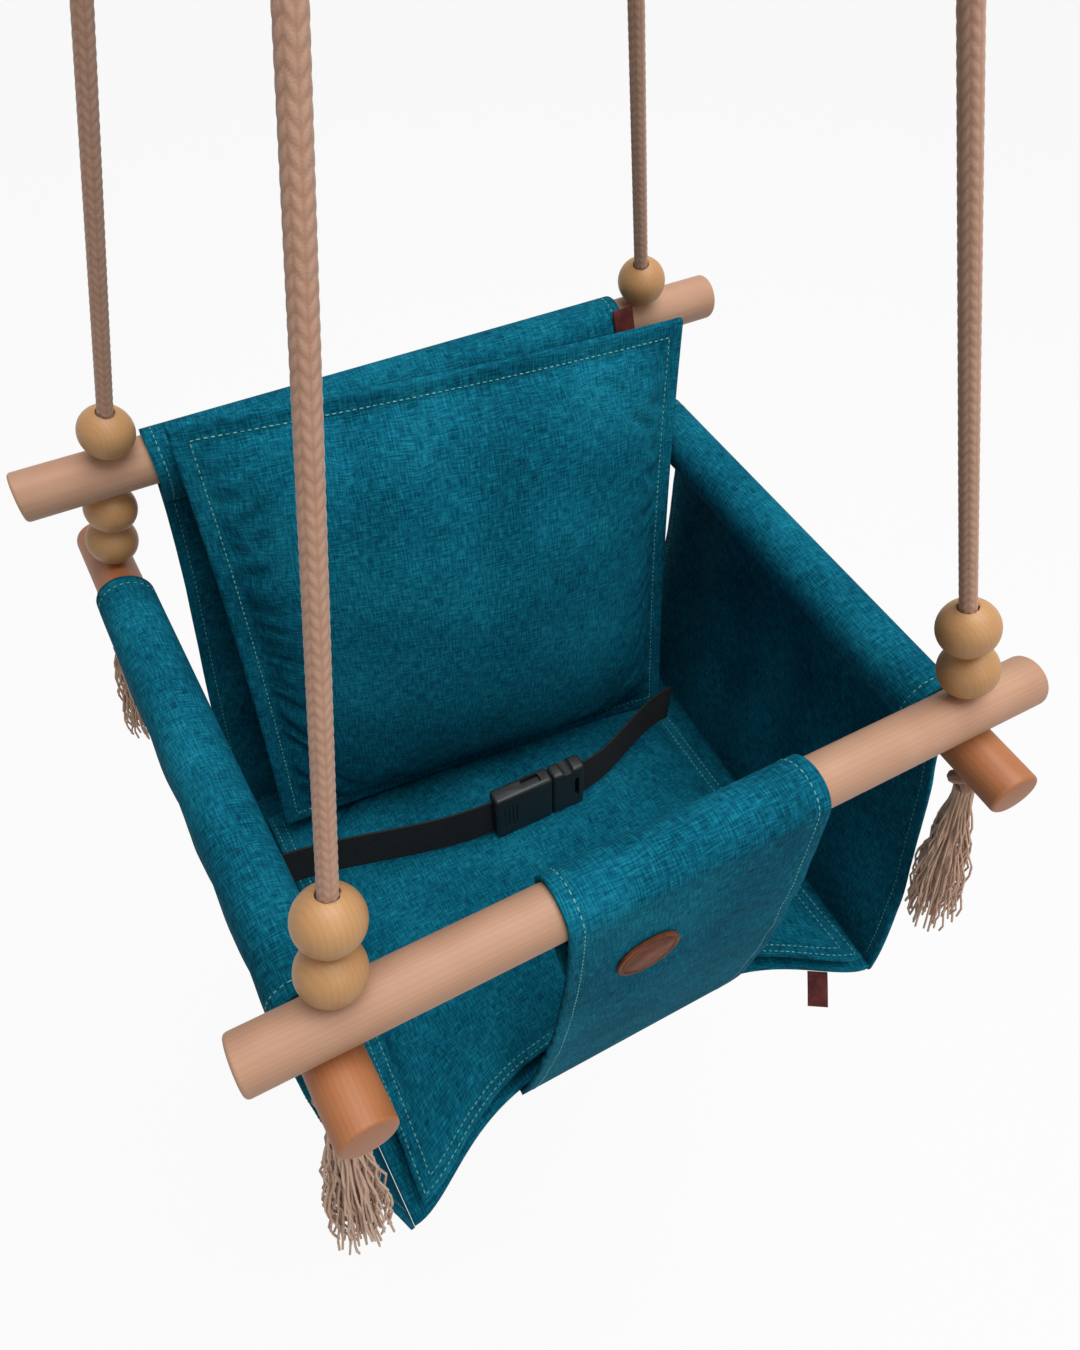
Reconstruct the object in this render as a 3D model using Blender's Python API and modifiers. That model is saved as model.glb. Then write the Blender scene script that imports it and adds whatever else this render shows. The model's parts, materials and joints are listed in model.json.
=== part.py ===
"""Fabric bucket swing for a toddler: four wooden rods on four ropes with wooden beads, a sewn cloth
bucket with a crotch strap and two cushions, and a buckled waist belt, all hung from one steel ring."""

import math

import bmesh
import bpy
from mathutils import Matrix, Vector

# Clearances between touching pieces
GAP = 0.0003
ROPE_CLEARANCE = 0.0006
SLEEVE_CLEARANCE = 0.0006

# Hanging ring and the knot that gathers the ropes
RING_RADIUS = 0.024
RING_BAR = 0.008
KNOT_DIAMETER = 0.040
LOOP_RISE = 0.031
LOOP_CLEARANCE = 0.0008
HANG_RISE = 0.799
HANG_FORWARD = 0.0185
HANG_TIP = 3.49

# Rods, at the spacing of the ropes that pass through them
ROD_DIAMETER = 0.028
ROD_EDGE = 0.0022
FRONT_ROD_LENGTH = 0.428
BACK_ROD_LENGTH = 0.450
SIDE_ROD_LENGTH = 0.430
FRONT_SPACING = 0.357
BACK_SPACING = 0.392
DEPTH_SPACING = 0.357

# Ropes, beads, end knots and tassels
ROPE_DIAMETER = 0.0085
BEAD_DIAMETER = 0.030
BEAD_HOLE = 0.010
END_KNOT_DIAMETER = 0.023
TASSEL_LENGTH = 0.146
TASSEL_NECK = 0.0055
TASSEL_FLARE = 0.0160
TASSEL_HANG = 0.52
TASSEL_SHAPE = ((0.2, 0.4), (0.75, 1.0), (0.95, 0.9), (1.0, 0.5))

# Cloth bucket, with heights taken from the side rods' axes
CLOTH = 0.0026
SEAT_DROP = 0.248
SEAT_SAG = 0.006
SEAT_FRONT = 0.192
SEAT_REAR = 0.150
SEAT_NOTCH = 0.046
HEM_DROP = 0.005
SEAM_DROP = 0.040
BACK_FOOT_WIDTH = 0.366
SLEEVE_END_CLEARANCE = 0.0015
SIDE_SLEEVE_FRONT = 0.150
SIDE_SLEEVE_REAR = 0.150
SIDE_BULGE = 0.007
FOLD_HEIGHT = 0.0022
FOLD_COUNT = 5
SLEEVE_SHARE = 0.5
HEM_SHARE = 0.1
SEAM_ANGLE = 215.0

# Crotch strap
STRAP_WIDTH = 0.140
STRAP_FOOT_WIDTH = 0.164
STRAP_CLEARANCE = 0.003
STRAP_UNDER = 0.045
STRAP_FALL = 0.8

# Cushions
BACK_CUSHION_WIDTH = 0.320
BACK_CUSHION_HEIGHT = 0.328
BACK_CUSHION_CROWN = 0.030
BACK_CUSHION_LEAN = 8.0
BACK_CUSHION_ROLL = 2.3
BACK_CUSHION_YAW = -4.0
BACK_CUSHION_SHIFT = 0.011
SEAT_CUSHION_WIDTH = 0.336
SEAT_CUSHION_LENGTH = 0.310
SEAT_CUSHION_CROWN = 0.019
CUSHION_FLANGE = 0.005
FLANGE_WIDTH = 0.016
CUSHION_DRAW = 0.022
CUSHION_CELLS = 18
CROWN_REACH = 2.4
CROWN_ROUND = 0.55

# Waist belt and its side-release buckle
WEBBING = 0.0020
BELT_WIDTH = 0.038
BELT_Y = 0.012
BELT_TURN = 0.030
BELT_LEFT_REACH = 0.184
BELT_RIGHT_REACH = 0.150
BUCKLE_X = 0.003
BUCKLE_WIDTH = 0.047
BUCKLE_THICKNESS = 0.013
BUCKLE_EDGE = 0.0012
BUCKLE_PLAY = 0.0005
SOCKET_LENGTH = 0.046
SOCKET_WALL = 0.0024
TONGUE_BASE = 0.026
TONGUE_GUIDE = 0.0060
TONGUE_REACH = 0.028
PRONG_REACH = 0.025
PRONG_THICKNESS = 0.0040
WINDOW_LENGTH = 0.015
WINDOW_SETBACK = 0.008

# Leather trim
LEATHER = 0.0018
PATCH_DIAMETER = 0.035
PATCH_DROP = 0.053
PATCH_SHIFT = -0.0265
TAG_WIDTH = 0.014
TAG_LENGTH = 0.024
TAG_CLEARANCE = 0.0006
REAR_TAG_INSET = 0.001
REAR_TAG_ANGLE = 72.0
FRONT_TAG_X = 0.142
FRONT_TAG_FALL = 25.0

# Smoothness of round shapes
ROD_SIDES = 32
ROPE_SIDES = 14
BEAD_STEPS = 16
BEAD_ARC = 9
RING_SIDES = 40
BALL_SIDES = 16
LOOP_STEPS = 10
LEAN_STEPS = 60
SETTLE_STEPS = 8

# Heights and places that follow from the sizes above
ROD_R = ROD_DIAMETER / 2
ROPE_R = ROPE_DIAMETER / 2
BEAD_R = BEAD_DIAMETER / 2
KNOT_R = KNOT_DIAMETER / 2
END_KNOT_R = END_KNOT_DIAMETER / 2
BEAD_PITCH = 2 * math.sqrt(BEAD_R**2 - (BEAD_HOLE / 2) ** 2) + GAP
BAR_Z = RING_BAR / 2 - 2 * RING_RADIUS
GATHER = Vector((0, -HANG_FORWARD, BAR_Z - LOOP_RISE))
SIDE_Z = GATHER.z - HANG_RISE
SEAT_Z = SIDE_Z - SEAT_DROP
SLEEVE_R = ROD_R + SLEEVE_CLEARANCE + CLOTH / 2
HOLE_CUTTER_LENGTH = 4 * ROD_DIAMETER

# Finishes: colour, roughness and metallic
WOOD_ROD = ((0.60, 0.36, 0.23), 0.55, 0.0)
WOOD_SIDE = ((0.56, 0.30, 0.14), 0.55, 0.0)
WOOD_BEAD = ((0.57, 0.33, 0.13), 0.5, 0.0)
COTTON = ((0.55, 0.38, 0.27), 0.9, 0.0)
TEAL = ((0.008, 0.13, 0.19), 0.95, 0.0)
BLACK_WEBBING = ((0.012, 0.012, 0.013), 0.8, 0.0)
BLACK_PLASTIC = ((0.018, 0.018, 0.019), 0.4, 0.0)
LEATHER_BROWN = ((0.25, 0.08, 0.03), 0.6, 0.0)
LEATHER_RED = ((0.15, 0.03, 0.02), 0.6, 0.0)
STEEL = ((0.6, 0.6, 0.62), 0.3, 1.0)


def clear_scene():
    for old in list(bpy.data.objects):
        bpy.data.objects.remove(old, do_unlink=True)


def new_collection(name):
    collection = bpy.data.collections.new(name)
    bpy.context.scene.collection.children.link(collection)
    return collection


clear_scene()
PARTS = new_collection("toddler_bucket_swing")
CUTTERS = new_collection("cutters")


def material(name, look):
    color, roughness, metallic = look
    made = bpy.data.materials.new(name)
    made.use_nodes = True
    shader = made.node_tree.nodes["Principled BSDF"]
    shader.inputs["Base Color"].default_value = (*color, 1)
    shader.inputs["Roughness"].default_value = roughness
    shader.inputs["Metallic"].default_value = metallic
    return made


def object_of(name, bm, look=None, collection=None):
    mesh = bpy.data.meshes.new(name)
    bm.to_mesh(mesh)
    bm.free()
    made = bpy.data.objects.new(name, mesh)
    (collection or PARTS).objects.link(made)
    if look:
        mesh.materials.append(material(name, look))
    return made


def smooth(obj, angle=40):
    obj.data.shade_smooth()
    obj.data.set_sharp_from_angle(angle=math.radians(angle))


def turn_to(direction):
    return Vector((0, 0, 1)).rotation_difference(direction).to_matrix().to_4x4()


def bevel(obj, width, segments=2, angle=50):
    rounding = obj.modifiers.new("rounding", "BEVEL")
    rounding.width = width
    rounding.segments = segments
    rounding.limit_method = "ANGLE"
    rounding.angle_limit = math.radians(angle)


def cut(obj, cutter):
    cutter.hide_render = True
    cutter.display_type = "WIRE"
    hole = obj.modifiers.new("cut_" + cutter.name, "BOOLEAN")
    hole.operation = "DIFFERENCE"
    hole.object = cutter


def cylinder(name, radius, length, look=None, sides=ROD_SIDES, collection=None):
    """A cylinder on Z about the origin."""
    bm = bmesh.new()
    bmesh.ops.create_cone(
        bm, cap_ends=True, segments=sides, radius1=radius, radius2=radius, depth=length
    )
    made = object_of(name, bm, look, collection)
    smooth(made)
    return made


def box(name, size, look=None, collection=None):
    bm = bmesh.new()
    bmesh.ops.create_cube(bm, size=1)
    bmesh.ops.scale(bm, vec=size, verts=bm.verts)
    return object_of(name, bm, look, collection)


def turned(name, profile, look, steps):
    """A profile of (radius, height) points, turned about Z."""
    bm = bmesh.new()
    points = [bm.verts.new((radius, 0, height)) for radius, height in profile]
    for first, second in zip(points, points[1:] + points[:1]):
        if first.co.x > 0 or second.co.x > 0:
            bm.edges.new((first, second))
    made = object_of(name, bm, look)
    screw = made.modifiers.new("turning", "SCREW")
    screw.steps = steps
    screw.render_steps = steps
    screw.use_merge_vertices = True
    screw.merge_threshold = 0.00001
    screw.use_smooth_shade = True
    return made


def sheet(name, place, columns, rows, thickness, look):
    """A cloth sheet whose middle surface is place(u, v), with u and v from 0 to 1."""
    bm = bmesh.new()
    bmesh.ops.create_grid(bm, x_segments=columns, y_segments=rows, size=0.5)
    for vert in bm.verts:
        vert.co = place(vert.co.x + 0.5, vert.co.y + 0.5)
    made = object_of(name, bm, look)
    made.data.shade_smooth()
    shell = made.modifiers.new("thickness", "SOLIDIFY")
    shell.thickness = thickness
    shell.offset = 0
    shell.use_even_offset = True
    return made


def swell(place, reach):
    """The share of a cushion's crown at -1 to 1 across it, nothing on the flange."""
    share = abs(place) / (1 - FLANGE_WIDTH / reach)
    return max(0, 1 - share**CROWN_REACH) ** CROWN_ROUND


def half_thickness(x, y, half, crown):
    return CUSHION_FLANGE / 2 + crown * swell(x, half.x) * swell(y, half.y)


def cushion_point(x, y, half, crown):
    """A point on a flat cushion's upper face, at -1 to 1 across and along it."""
    drawn_x = 1 - CUSHION_DRAW * (1 - y**2)
    drawn_y = 1 - CUSHION_DRAW * (1 - x**2)
    return Vector((x * half.x * drawn_x, y * half.y * drawn_y, half_thickness(x, y, half, crown)))


def cushion(name, half, crown, look, draw_front=None):
    """A filled cushion lying flat: a flange all round, drawn-in sides and a crown."""
    bm = bmesh.new()
    bmesh.ops.create_grid(bm, x_segments=CUSHION_CELLS, y_segments=CUSHION_CELLS, size=1)
    bmesh.ops.solidify(bm, geom=bm.faces[:], thickness=CUSHION_FLANGE)
    middle = sum(vert.co.z for vert in bm.verts) / len(bm.verts)

    for vert in bm.verts:
        x, y, z = vert.co
        point = cushion_point(x, y, half, crown)
        point.y += draw_front(x) * max(0, -y) if draw_front else 0
        point.z *= 1 if z > middle else -1
        vert.co = point
    bmesh.ops.recalc_face_normals(bm, faces=bm.faces[:])
    made = object_of(name, bm, look)
    made.data.shade_smooth()
    return made


class Corner:
    """One rope: its way from the side rod's axis up to the gathering knot."""

    def __init__(self, name, x, y):
        self.name = name
        self.foot = Vector((x, y, SIDE_Z))
        self.way = (GATHER - self.foot).normalized()
        self.length = (GATHER - self.foot).length
        self.off_side_rod = math.hypot(self.way.x, self.way.z)
        self.off_cross_rod = math.hypot(self.way.y, self.way.z)

    def at(self, distance):
        return self.foot + self.way * distance


CORNERS = {
    name: Corner(name, sign * spacing / 2, depth)
    for name, sign, spacing, depth in (
        ("front_left", -1, FRONT_SPACING, -DEPTH_SPACING / 2),
        ("front_right", 1, FRONT_SPACING, -DEPTH_SPACING / 2),
        ("back_left", -1, BACK_SPACING, DEPTH_SPACING / 2),
        ("back_right", 1, BACK_SPACING, DEPTH_SPACING / 2),
    )
}
FRONT = CORNERS["front_left"]
BACK = CORNERS["back_left"]

# Distances along the ropes from the side rods' axes
BEAD_ON_ROD = ROD_R + BEAD_R + GAP
FRONT_ROD_AT = (ROD_DIAMETER + GAP) / FRONT.way.z
FRONT_BEADS_AT = [FRONT_ROD_AT + BEAD_ON_ROD / FRONT.off_cross_rod]
FRONT_BEADS_AT.append(FRONT_BEADS_AT[0] + BEAD_PITCH)
BACK_BEADS_AT = [BEAD_ON_ROD / BACK.off_side_rod]
BACK_BEADS_AT.append(BACK_BEADS_AT[0] + BEAD_PITCH)
BACK_ROD_AT = BACK_BEADS_AT[1] + BEAD_ON_ROD / BACK.off_cross_rod
BACK_BEADS_AT.append(BACK_ROD_AT + BEAD_ON_ROD / BACK.off_cross_rod)
FRONT_ROD = Vector((0, FRONT.at(FRONT_ROD_AT).y, FRONT.at(FRONT_ROD_AT).z))
BACK_ROD = Vector((0, BACK.at(BACK_ROD_AT).y, BACK.at(BACK_ROD_AT).z))
BACK_SLEEVE_WIDTH = -2 * BACK.at(BACK_BEADS_AT[2]).x - BEAD_DIAMETER - 2 * SLEEVE_END_CLEARANCE
SEAT_CUSHION = Vector((SEAT_CUSHION_WIDTH / 2, SEAT_CUSHION_LENGTH / 2))
SEAT_CUSHION_Y = SEAT_CUSHION.y - SEAT_FRONT + CLOTH
BACK_CUSHION = Vector((BACK_CUSHION_WIDTH / 2, BACK_CUSHION_HEIGHT / 2))


def rope_hole(rod, corner, distance):
    hole = cylinder(
        rod.name + "_hole_" + corner.name,
        ROPE_R + ROPE_CLEARANCE,
        HOLE_CUTTER_LENGTH,
        sides=ROPE_SIDES,
        collection=CUTTERS,
    )
    hole.matrix_world = Matrix.Translation(corner.at(distance)) @ turn_to(corner.way)
    cut(rod, hole)


def make_rods():
    for name, place, length, distance in (
        ("front", FRONT_ROD, FRONT_ROD_LENGTH, FRONT_ROD_AT),
        ("back", BACK_ROD, BACK_ROD_LENGTH, BACK_ROD_AT),
    ):
        rod = cylinder(name + "_rod", ROD_R, length, WOOD_ROD)
        rod.location = place
        rod.rotation_euler.y = math.pi / 2
        bevel(rod, ROD_EDGE)
        for side in ("left", "right"):
            rope_hole(rod, CORNERS[name + "_" + side], distance)
    for side in ("left", "right"):
        front = CORNERS["front_" + side]
        back = CORNERS["back_" + side]
        rod = cylinder(side + "_side_rod", ROD_R, SIDE_ROD_LENGTH, WOOD_SIDE)
        along = back.foot - front.foot
        middle = (front.foot + back.foot) / 2
        rod.matrix_world = Matrix.Translation(middle) @ turn_to(along)
        bevel(rod, ROD_EDGE)
        rope_hole(rod, front, 0)
        rope_hole(rod, back, 0)


def make_bead(name, corner, distance):
    half_hole = BEAD_HOLE / 2
    tilt = math.asin(half_hole / BEAD_R)
    profile = []
    for step in range(BEAD_ARC + 1):
        angle = tilt + (math.pi - 2 * tilt) * step / BEAD_ARC
        profile.append((BEAD_R * math.sin(angle), BEAD_R * math.cos(angle)))
    bead = turned(name, profile, WOOD_BEAD, BEAD_STEPS)
    bead.matrix_world = Matrix.Translation(corner.at(distance)) @ turn_to(corner.way)


def make_beads():
    for side in ("left", "right"):
        front = CORNERS["front_" + side]
        back = CORNERS["back_" + side]
        make_bead("bead_front_" + side + "_lower", front, FRONT_BEADS_AT[0])
        make_bead("bead_front_" + side + "_upper", front, FRONT_BEADS_AT[1])
        make_bead("bead_back_" + side + "_lower", back, BACK_BEADS_AT[0])
        make_bead("bead_back_" + side + "_middle", back, BACK_BEADS_AT[1])
        make_bead("bead_back_" + side + "_upper", back, BACK_BEADS_AT[2])


def make_rope(corner):
    """A rope from the end knot under the side rod to the gathering knot, with its knot and tassel."""
    knot_at = -(ROD_R + END_KNOT_R + GAP) / corner.off_side_rod
    start = knot_at + END_KNOT_R + GAP
    end = corner.length - KNOT_R - GAP
    rope = cylinder("rope_" + corner.name, ROPE_R, end - start, COTTON, ROPE_SIDES)
    middle = corner.at((start + end) / 2)
    rope.matrix_world = Matrix.Translation(middle) @ turn_to(corner.way)

    bm = bmesh.new()
    bmesh.ops.create_uvsphere(bm, u_segments=BALL_SIDES, v_segments=10, radius=END_KNOT_R)
    knot = object_of("knot_" + corner.name, bm, COTTON)
    knot.data.shade_smooth()
    knot.matrix_world = Matrix.Translation(corner.at(knot_at)) @ turn_to(corner.way)

    profile = [(0, 0), (TASSEL_NECK, 0)]
    profile += [(TASSEL_FLARE * wide, -TASSEL_LENGTH * down) for down, wide in TASSEL_SHAPE]
    profile.append((0, -TASSEL_LENGTH))
    tassel = turned("tassel_" + corner.name, profile, COTTON, ROPE_SIDES)
    upward = corner.way.lerp(Vector((0, 0, 1)), TASSEL_HANG).normalized()
    top = corner.at(knot_at) - upward * (END_KNOT_R + 2 * GAP)
    tassel.matrix_world = Matrix.Translation(top) @ turn_to(upward)


def make_ring():
    bpy.ops.mesh.primitive_torus_add(
        major_radius=RING_RADIUS,
        minor_radius=RING_BAR / 2,
        major_segments=RING_SIDES,
        minor_segments=ROPE_SIDES,
        location=(0, 0, BAR_Z + RING_RADIUS),
        rotation=(math.pi / 2, 0, 0),
    )
    ring = bpy.context.object
    ring.name = "hang_ring"
    ring.data.materials.append(material("hang_ring", STEEL))
    for owner in list(ring.users_collection):
        owner.objects.unlink(ring)
    PARTS.objects.link(ring)
    ring.data.shade_smooth()


def make_gather_knot():
    """The knot that joins the four ropes, with its loop round the ring's lower bar."""
    bend = RING_BAR / 2 + LOOP_CLEARANCE + ROPE_R
    legs = [Vector((0, bend, -LOOP_RISE)), Vector((0, bend, -LOOP_RISE / 2))]
    turns = [math.pi * step / LOOP_STEPS for step in range(LOOP_STEPS + 1)]
    arch = [Vector((0, bend * math.cos(turn), bend * math.sin(turn))) for turn in turns]
    route = legs + arch + [Vector((0, -bend, leg.z)) for leg in reversed(legs)]
    curve = bpy.data.curves.new("gather_loop", "CURVE")
    curve.dimensions = "3D"
    curve.bevel_depth = ROPE_R
    curve.bevel_resolution = 2
    curve.use_fill_caps = True
    spline = curve.splines.new("POLY")
    spline.points.add(len(route) - 1)
    for point, place in zip(spline.points, route):
        point.co = (*place, 1)
    guide = bpy.data.objects.new("gather_loop_guide", curve)
    CUTTERS.objects.link(guide)
    bpy.context.view_layer.update()
    graph = bpy.context.evaluated_depsgraph_get()
    mesh = bpy.data.meshes.new_from_object(guide.evaluated_get(graph))
    bpy.data.objects.remove(guide)
    bm = bmesh.new()
    bm.from_mesh(mesh)
    bmesh.ops.remove_doubles(bm, verts=bm.verts, dist=0.000001)
    bmesh.ops.recalc_face_normals(bm, faces=bm.faces[:])
    loop = object_of("gather_loop", bm, None, CUTTERS)
    loop.location = (0, GATHER.y, BAR_Z)
    loop.hide_render = True
    loop.display_type = "WIRE"

    bm = bmesh.new()
    bmesh.ops.create_uvsphere(bm, u_segments=24, v_segments=BALL_SIDES, radius=KNOT_R)
    knot = object_of("gather_knot", bm, COTTON)
    knot.location = GATHER
    smooth(knot)
    union = knot.modifiers.new("loop", "BOOLEAN")
    union.operation = "UNION"
    union.object = loop


def ease(share):
    return share * share * (3 - 2 * share)


def sleeve_and_panel(share, panel):
    """A way round a rod and down: (outward, up) from the rod's axis. panel takes 0 to 1 below it."""
    if share > SLEEVE_SHARE:
        return panel((share - SLEEVE_SHARE) / (1 - SLEEVE_SHARE))
    round_share = share / SLEEVE_SHARE
    if round_share == 0:
        return SLEEVE_R - CLOTH - GAP, -SEAM_DROP
    angle = math.radians(SEAM_ANGLE) * (1 - (round_share - HEM_SHARE) / (1 - HEM_SHARE))
    return SLEEVE_R * math.cos(angle), SLEEVE_R * math.sin(angle)


def folds(across, down):
    """Soft upright folds that die out at the seams."""
    return FOLD_HEIGHT * math.sin(2 * math.pi * FOLD_COUNT * across) * math.sin(math.pi * down)


def make_back_panel():
    foot_y = SEAT_REAR + CLOTH + GAP - BACK_ROD.y
    drop = BACK_ROD.z - SEAT_Z + HEM_DROP

    def place(u, v):
        def panel(down):
            return SLEEVE_R + (foot_y - SLEEVE_R) * ease(down) + folds(u, down), -drop * down

        out, up = sleeve_and_panel(1 - v, panel)
        down = max(0, -up / drop)
        width = BACK_SLEEVE_WIDTH + (BACK_FOOT_WIDTH - BACK_SLEEVE_WIDTH) * ease(min(1, down))
        return ((u - 0.5) * width, BACK_ROD.y + out, BACK_ROD.z + up)

    sheet("back_panel", place, 15, 20, CLOTH, TEAL)


def side_x(y):
    """How far a side rod's axis lies from the middle."""
    share = y / DEPTH_SPACING + 0.5
    return (FRONT_SPACING + (BACK_SPACING - FRONT_SPACING) * share) / 2


def make_side_panel(side, sign):
    drop = SEAT_DROP + HEM_DROP

    def place(u, v):
        def panel(down):
            out = SLEEVE_R * (1 - ease(down)) + SIDE_BULGE * math.sin(math.pi * down)
            return out + folds(u, down), -drop * down

        across = u if sign > 0 else 1 - u
        out, up = sleeve_and_panel(1 - v, panel)
        down = max(0, -up / drop)
        front = SIDE_SLEEVE_FRONT + (SEAT_FRONT - SIDE_SLEEVE_FRONT) * ease(min(1, down))
        y = -front + (front + SIDE_SLEEVE_REAR) * across
        return (sign * (side_x(y) + out), y, SIDE_Z + up)

    sheet(side + "_side_panel", place, 14, 20, CLOTH, TEAL)


def notch(across):
    """How far the strap draws the seat's front edge back, at -1 to 1 across."""
    return SEAT_NOTCH * (1 - across**4) ** 2


def seat_half(y):
    """Half the seat panel's width, inside the side panels."""
    return side_x(y) - CLOTH / 2 - GAP


def seat_height(x, y):
    """The middle of the seat panel's cloth, which sags between its edges."""
    across = x / seat_half(y)
    front = SEAT_FRONT - notch(across)
    along = (y + front) / (front + SEAT_REAR)
    return SEAT_Z - SEAT_SAG * math.cos(math.pi / 2 * across) * math.sin(math.pi * along)


def seat_edge(x):
    """A point on the seat panel's front edge."""
    return Vector((x, notch(x / seat_half(-SEAT_FRONT)) - SEAT_FRONT, SEAT_Z))


def make_seat_panel():
    def place(u, v):
        front = SEAT_FRONT - notch(2 * u - 1)
        y = -front + (front + SEAT_REAR) * v
        x = (2 * u - 1) * seat_half(y)
        return (x, y, seat_height(x, y))

    sheet("seat_panel", place, 16, 6, CLOTH, TEAL)


def shares(count=12):
    """Even steps from -1 to 1, for resting one piece on another."""
    return [2 * step / count - 1 for step in range(count + 1)]


def seat_cushion_half(x, y):
    across = x / SEAT_CUSHION.x
    along = (y - SEAT_CUSHION_Y) / SEAT_CUSHION.y
    return half_thickness(across, along, SEAT_CUSHION, SEAT_CUSHION_CROWN)


def rest_on_seat():
    """The seat cushion's height, resting on the sagging seat panel."""
    found = []
    for across in shares():
        for along in shares():
            x = SEAT_CUSHION.x * across
            y = SEAT_CUSHION_Y + SEAT_CUSHION.y * along
            found.append(seat_height(x, y) + seat_cushion_half(x, y))
    return max(found) + CLOTH / 2 + GAP


SEAT_CUSHION_Z = rest_on_seat()
BELT_Z = SEAT_CUSHION_Z + seat_cushion_half(BUCKLE_X, BELT_Y) + GAP + BUCKLE_WIDTH / 2
STRAP_DROP = FRONT_ROD.z - SEAT_Z + CLOTH + GAP + SEAT_SAG
STRAP_FOOT_OUT = FRONT_ROD.y + SEAT_FRONT - SEAT_NOTCH + CLOTH / 2 + STRAP_CLEARANCE


def strap_way(down):
    """The strap below its sleeve, from 0 at the rod to 1 under the seat: (outward, up) from the rod."""
    fall = min(1, down / STRAP_FALL)
    tuck = max(0, (down - STRAP_FALL) / (1 - STRAP_FALL))
    out = SLEEVE_R + (STRAP_FOOT_OUT - SLEEVE_R) * ease(fall) - STRAP_UNDER * tuck
    return out, -STRAP_DROP * math.sin(math.pi / 2 * fall)


def make_strap():
    def place(u, v):
        out, up = sleeve_and_panel(1 - v, strap_way)
        down = min(1, max(0, -up / STRAP_DROP))
        width = STRAP_WIDTH + (STRAP_FOOT_WIDTH - STRAP_WIDTH) * ease(down)
        return ((0.5 - u) * width, FRONT_ROD.y - out, FRONT_ROD.z + up)

    sheet("crotch_strap", place, 4, 30, CLOTH, TEAL)


def settle_back_cushion(turn):
    """The back cushion's middle, leaning on the back rod's sleeve and standing on the seat cushion."""
    reach = SLEEVE_R + CLOTH / 2
    faces = []
    for across in shares():
        for along in shares(LEAN_STEPS):
            point = cushion_point(across, along, BACK_CUSHION, BACK_CUSHION_CROWN)
            faces.append(turn @ point)
            faces.append(turn @ Vector((point.x, point.y, -point.z)))
    z = BACK_ROD.z - BACK_CUSHION.y
    for _ in range(SETTLE_STEPS):
        leans = []
        for point in faces:
            height = z + point.z - BACK_ROD.z
            if abs(height) < reach:
                leans.append(BACK_ROD.y - math.sqrt(reach**2 - height**2) - point.y)
        y = min(leans)
        z = max(seat_cushion_half(BACK_CUSHION_SHIFT + p.x, y + p.y) - p.z for p in faces)
        z += SEAT_CUSHION_Z + GAP
    return Vector((BACK_CUSHION_SHIFT, y, z))


def make_cushions():
    seat = cushion("seat_cushion", SEAT_CUSHION, SEAT_CUSHION_CROWN, TEAL, notch)
    seat.location = (0, SEAT_CUSHION_Y, SEAT_CUSHION_Z)
    back = cushion("back_cushion", BACK_CUSHION, BACK_CUSHION_CROWN, TEAL)
    angles = (90 - BACK_CUSHION_LEAN, BACK_CUSHION_ROLL, BACK_CUSHION_YAW)
    back.rotation_euler = [math.radians(angle) for angle in angles]
    back.location = settle_back_cushion(back.rotation_euler.to_matrix())


def belt_webbing(name, start, end):
    """Webbing on edge from the buckle's end out to the side, turning back along the cushion."""
    sign = 1 if end > start else -1

    def place(u, v):
        share = u if sign > 0 else 1 - u
        x = start + (end - start) * share
        y = BELT_Y + BELT_TURN * ease(share)
        return (x, y, BELT_Z + (v - 0.5) * BELT_WIDTH)

    sheet(name, place, 12, 1, WEBBING, BLACK_WEBBING)


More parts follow.
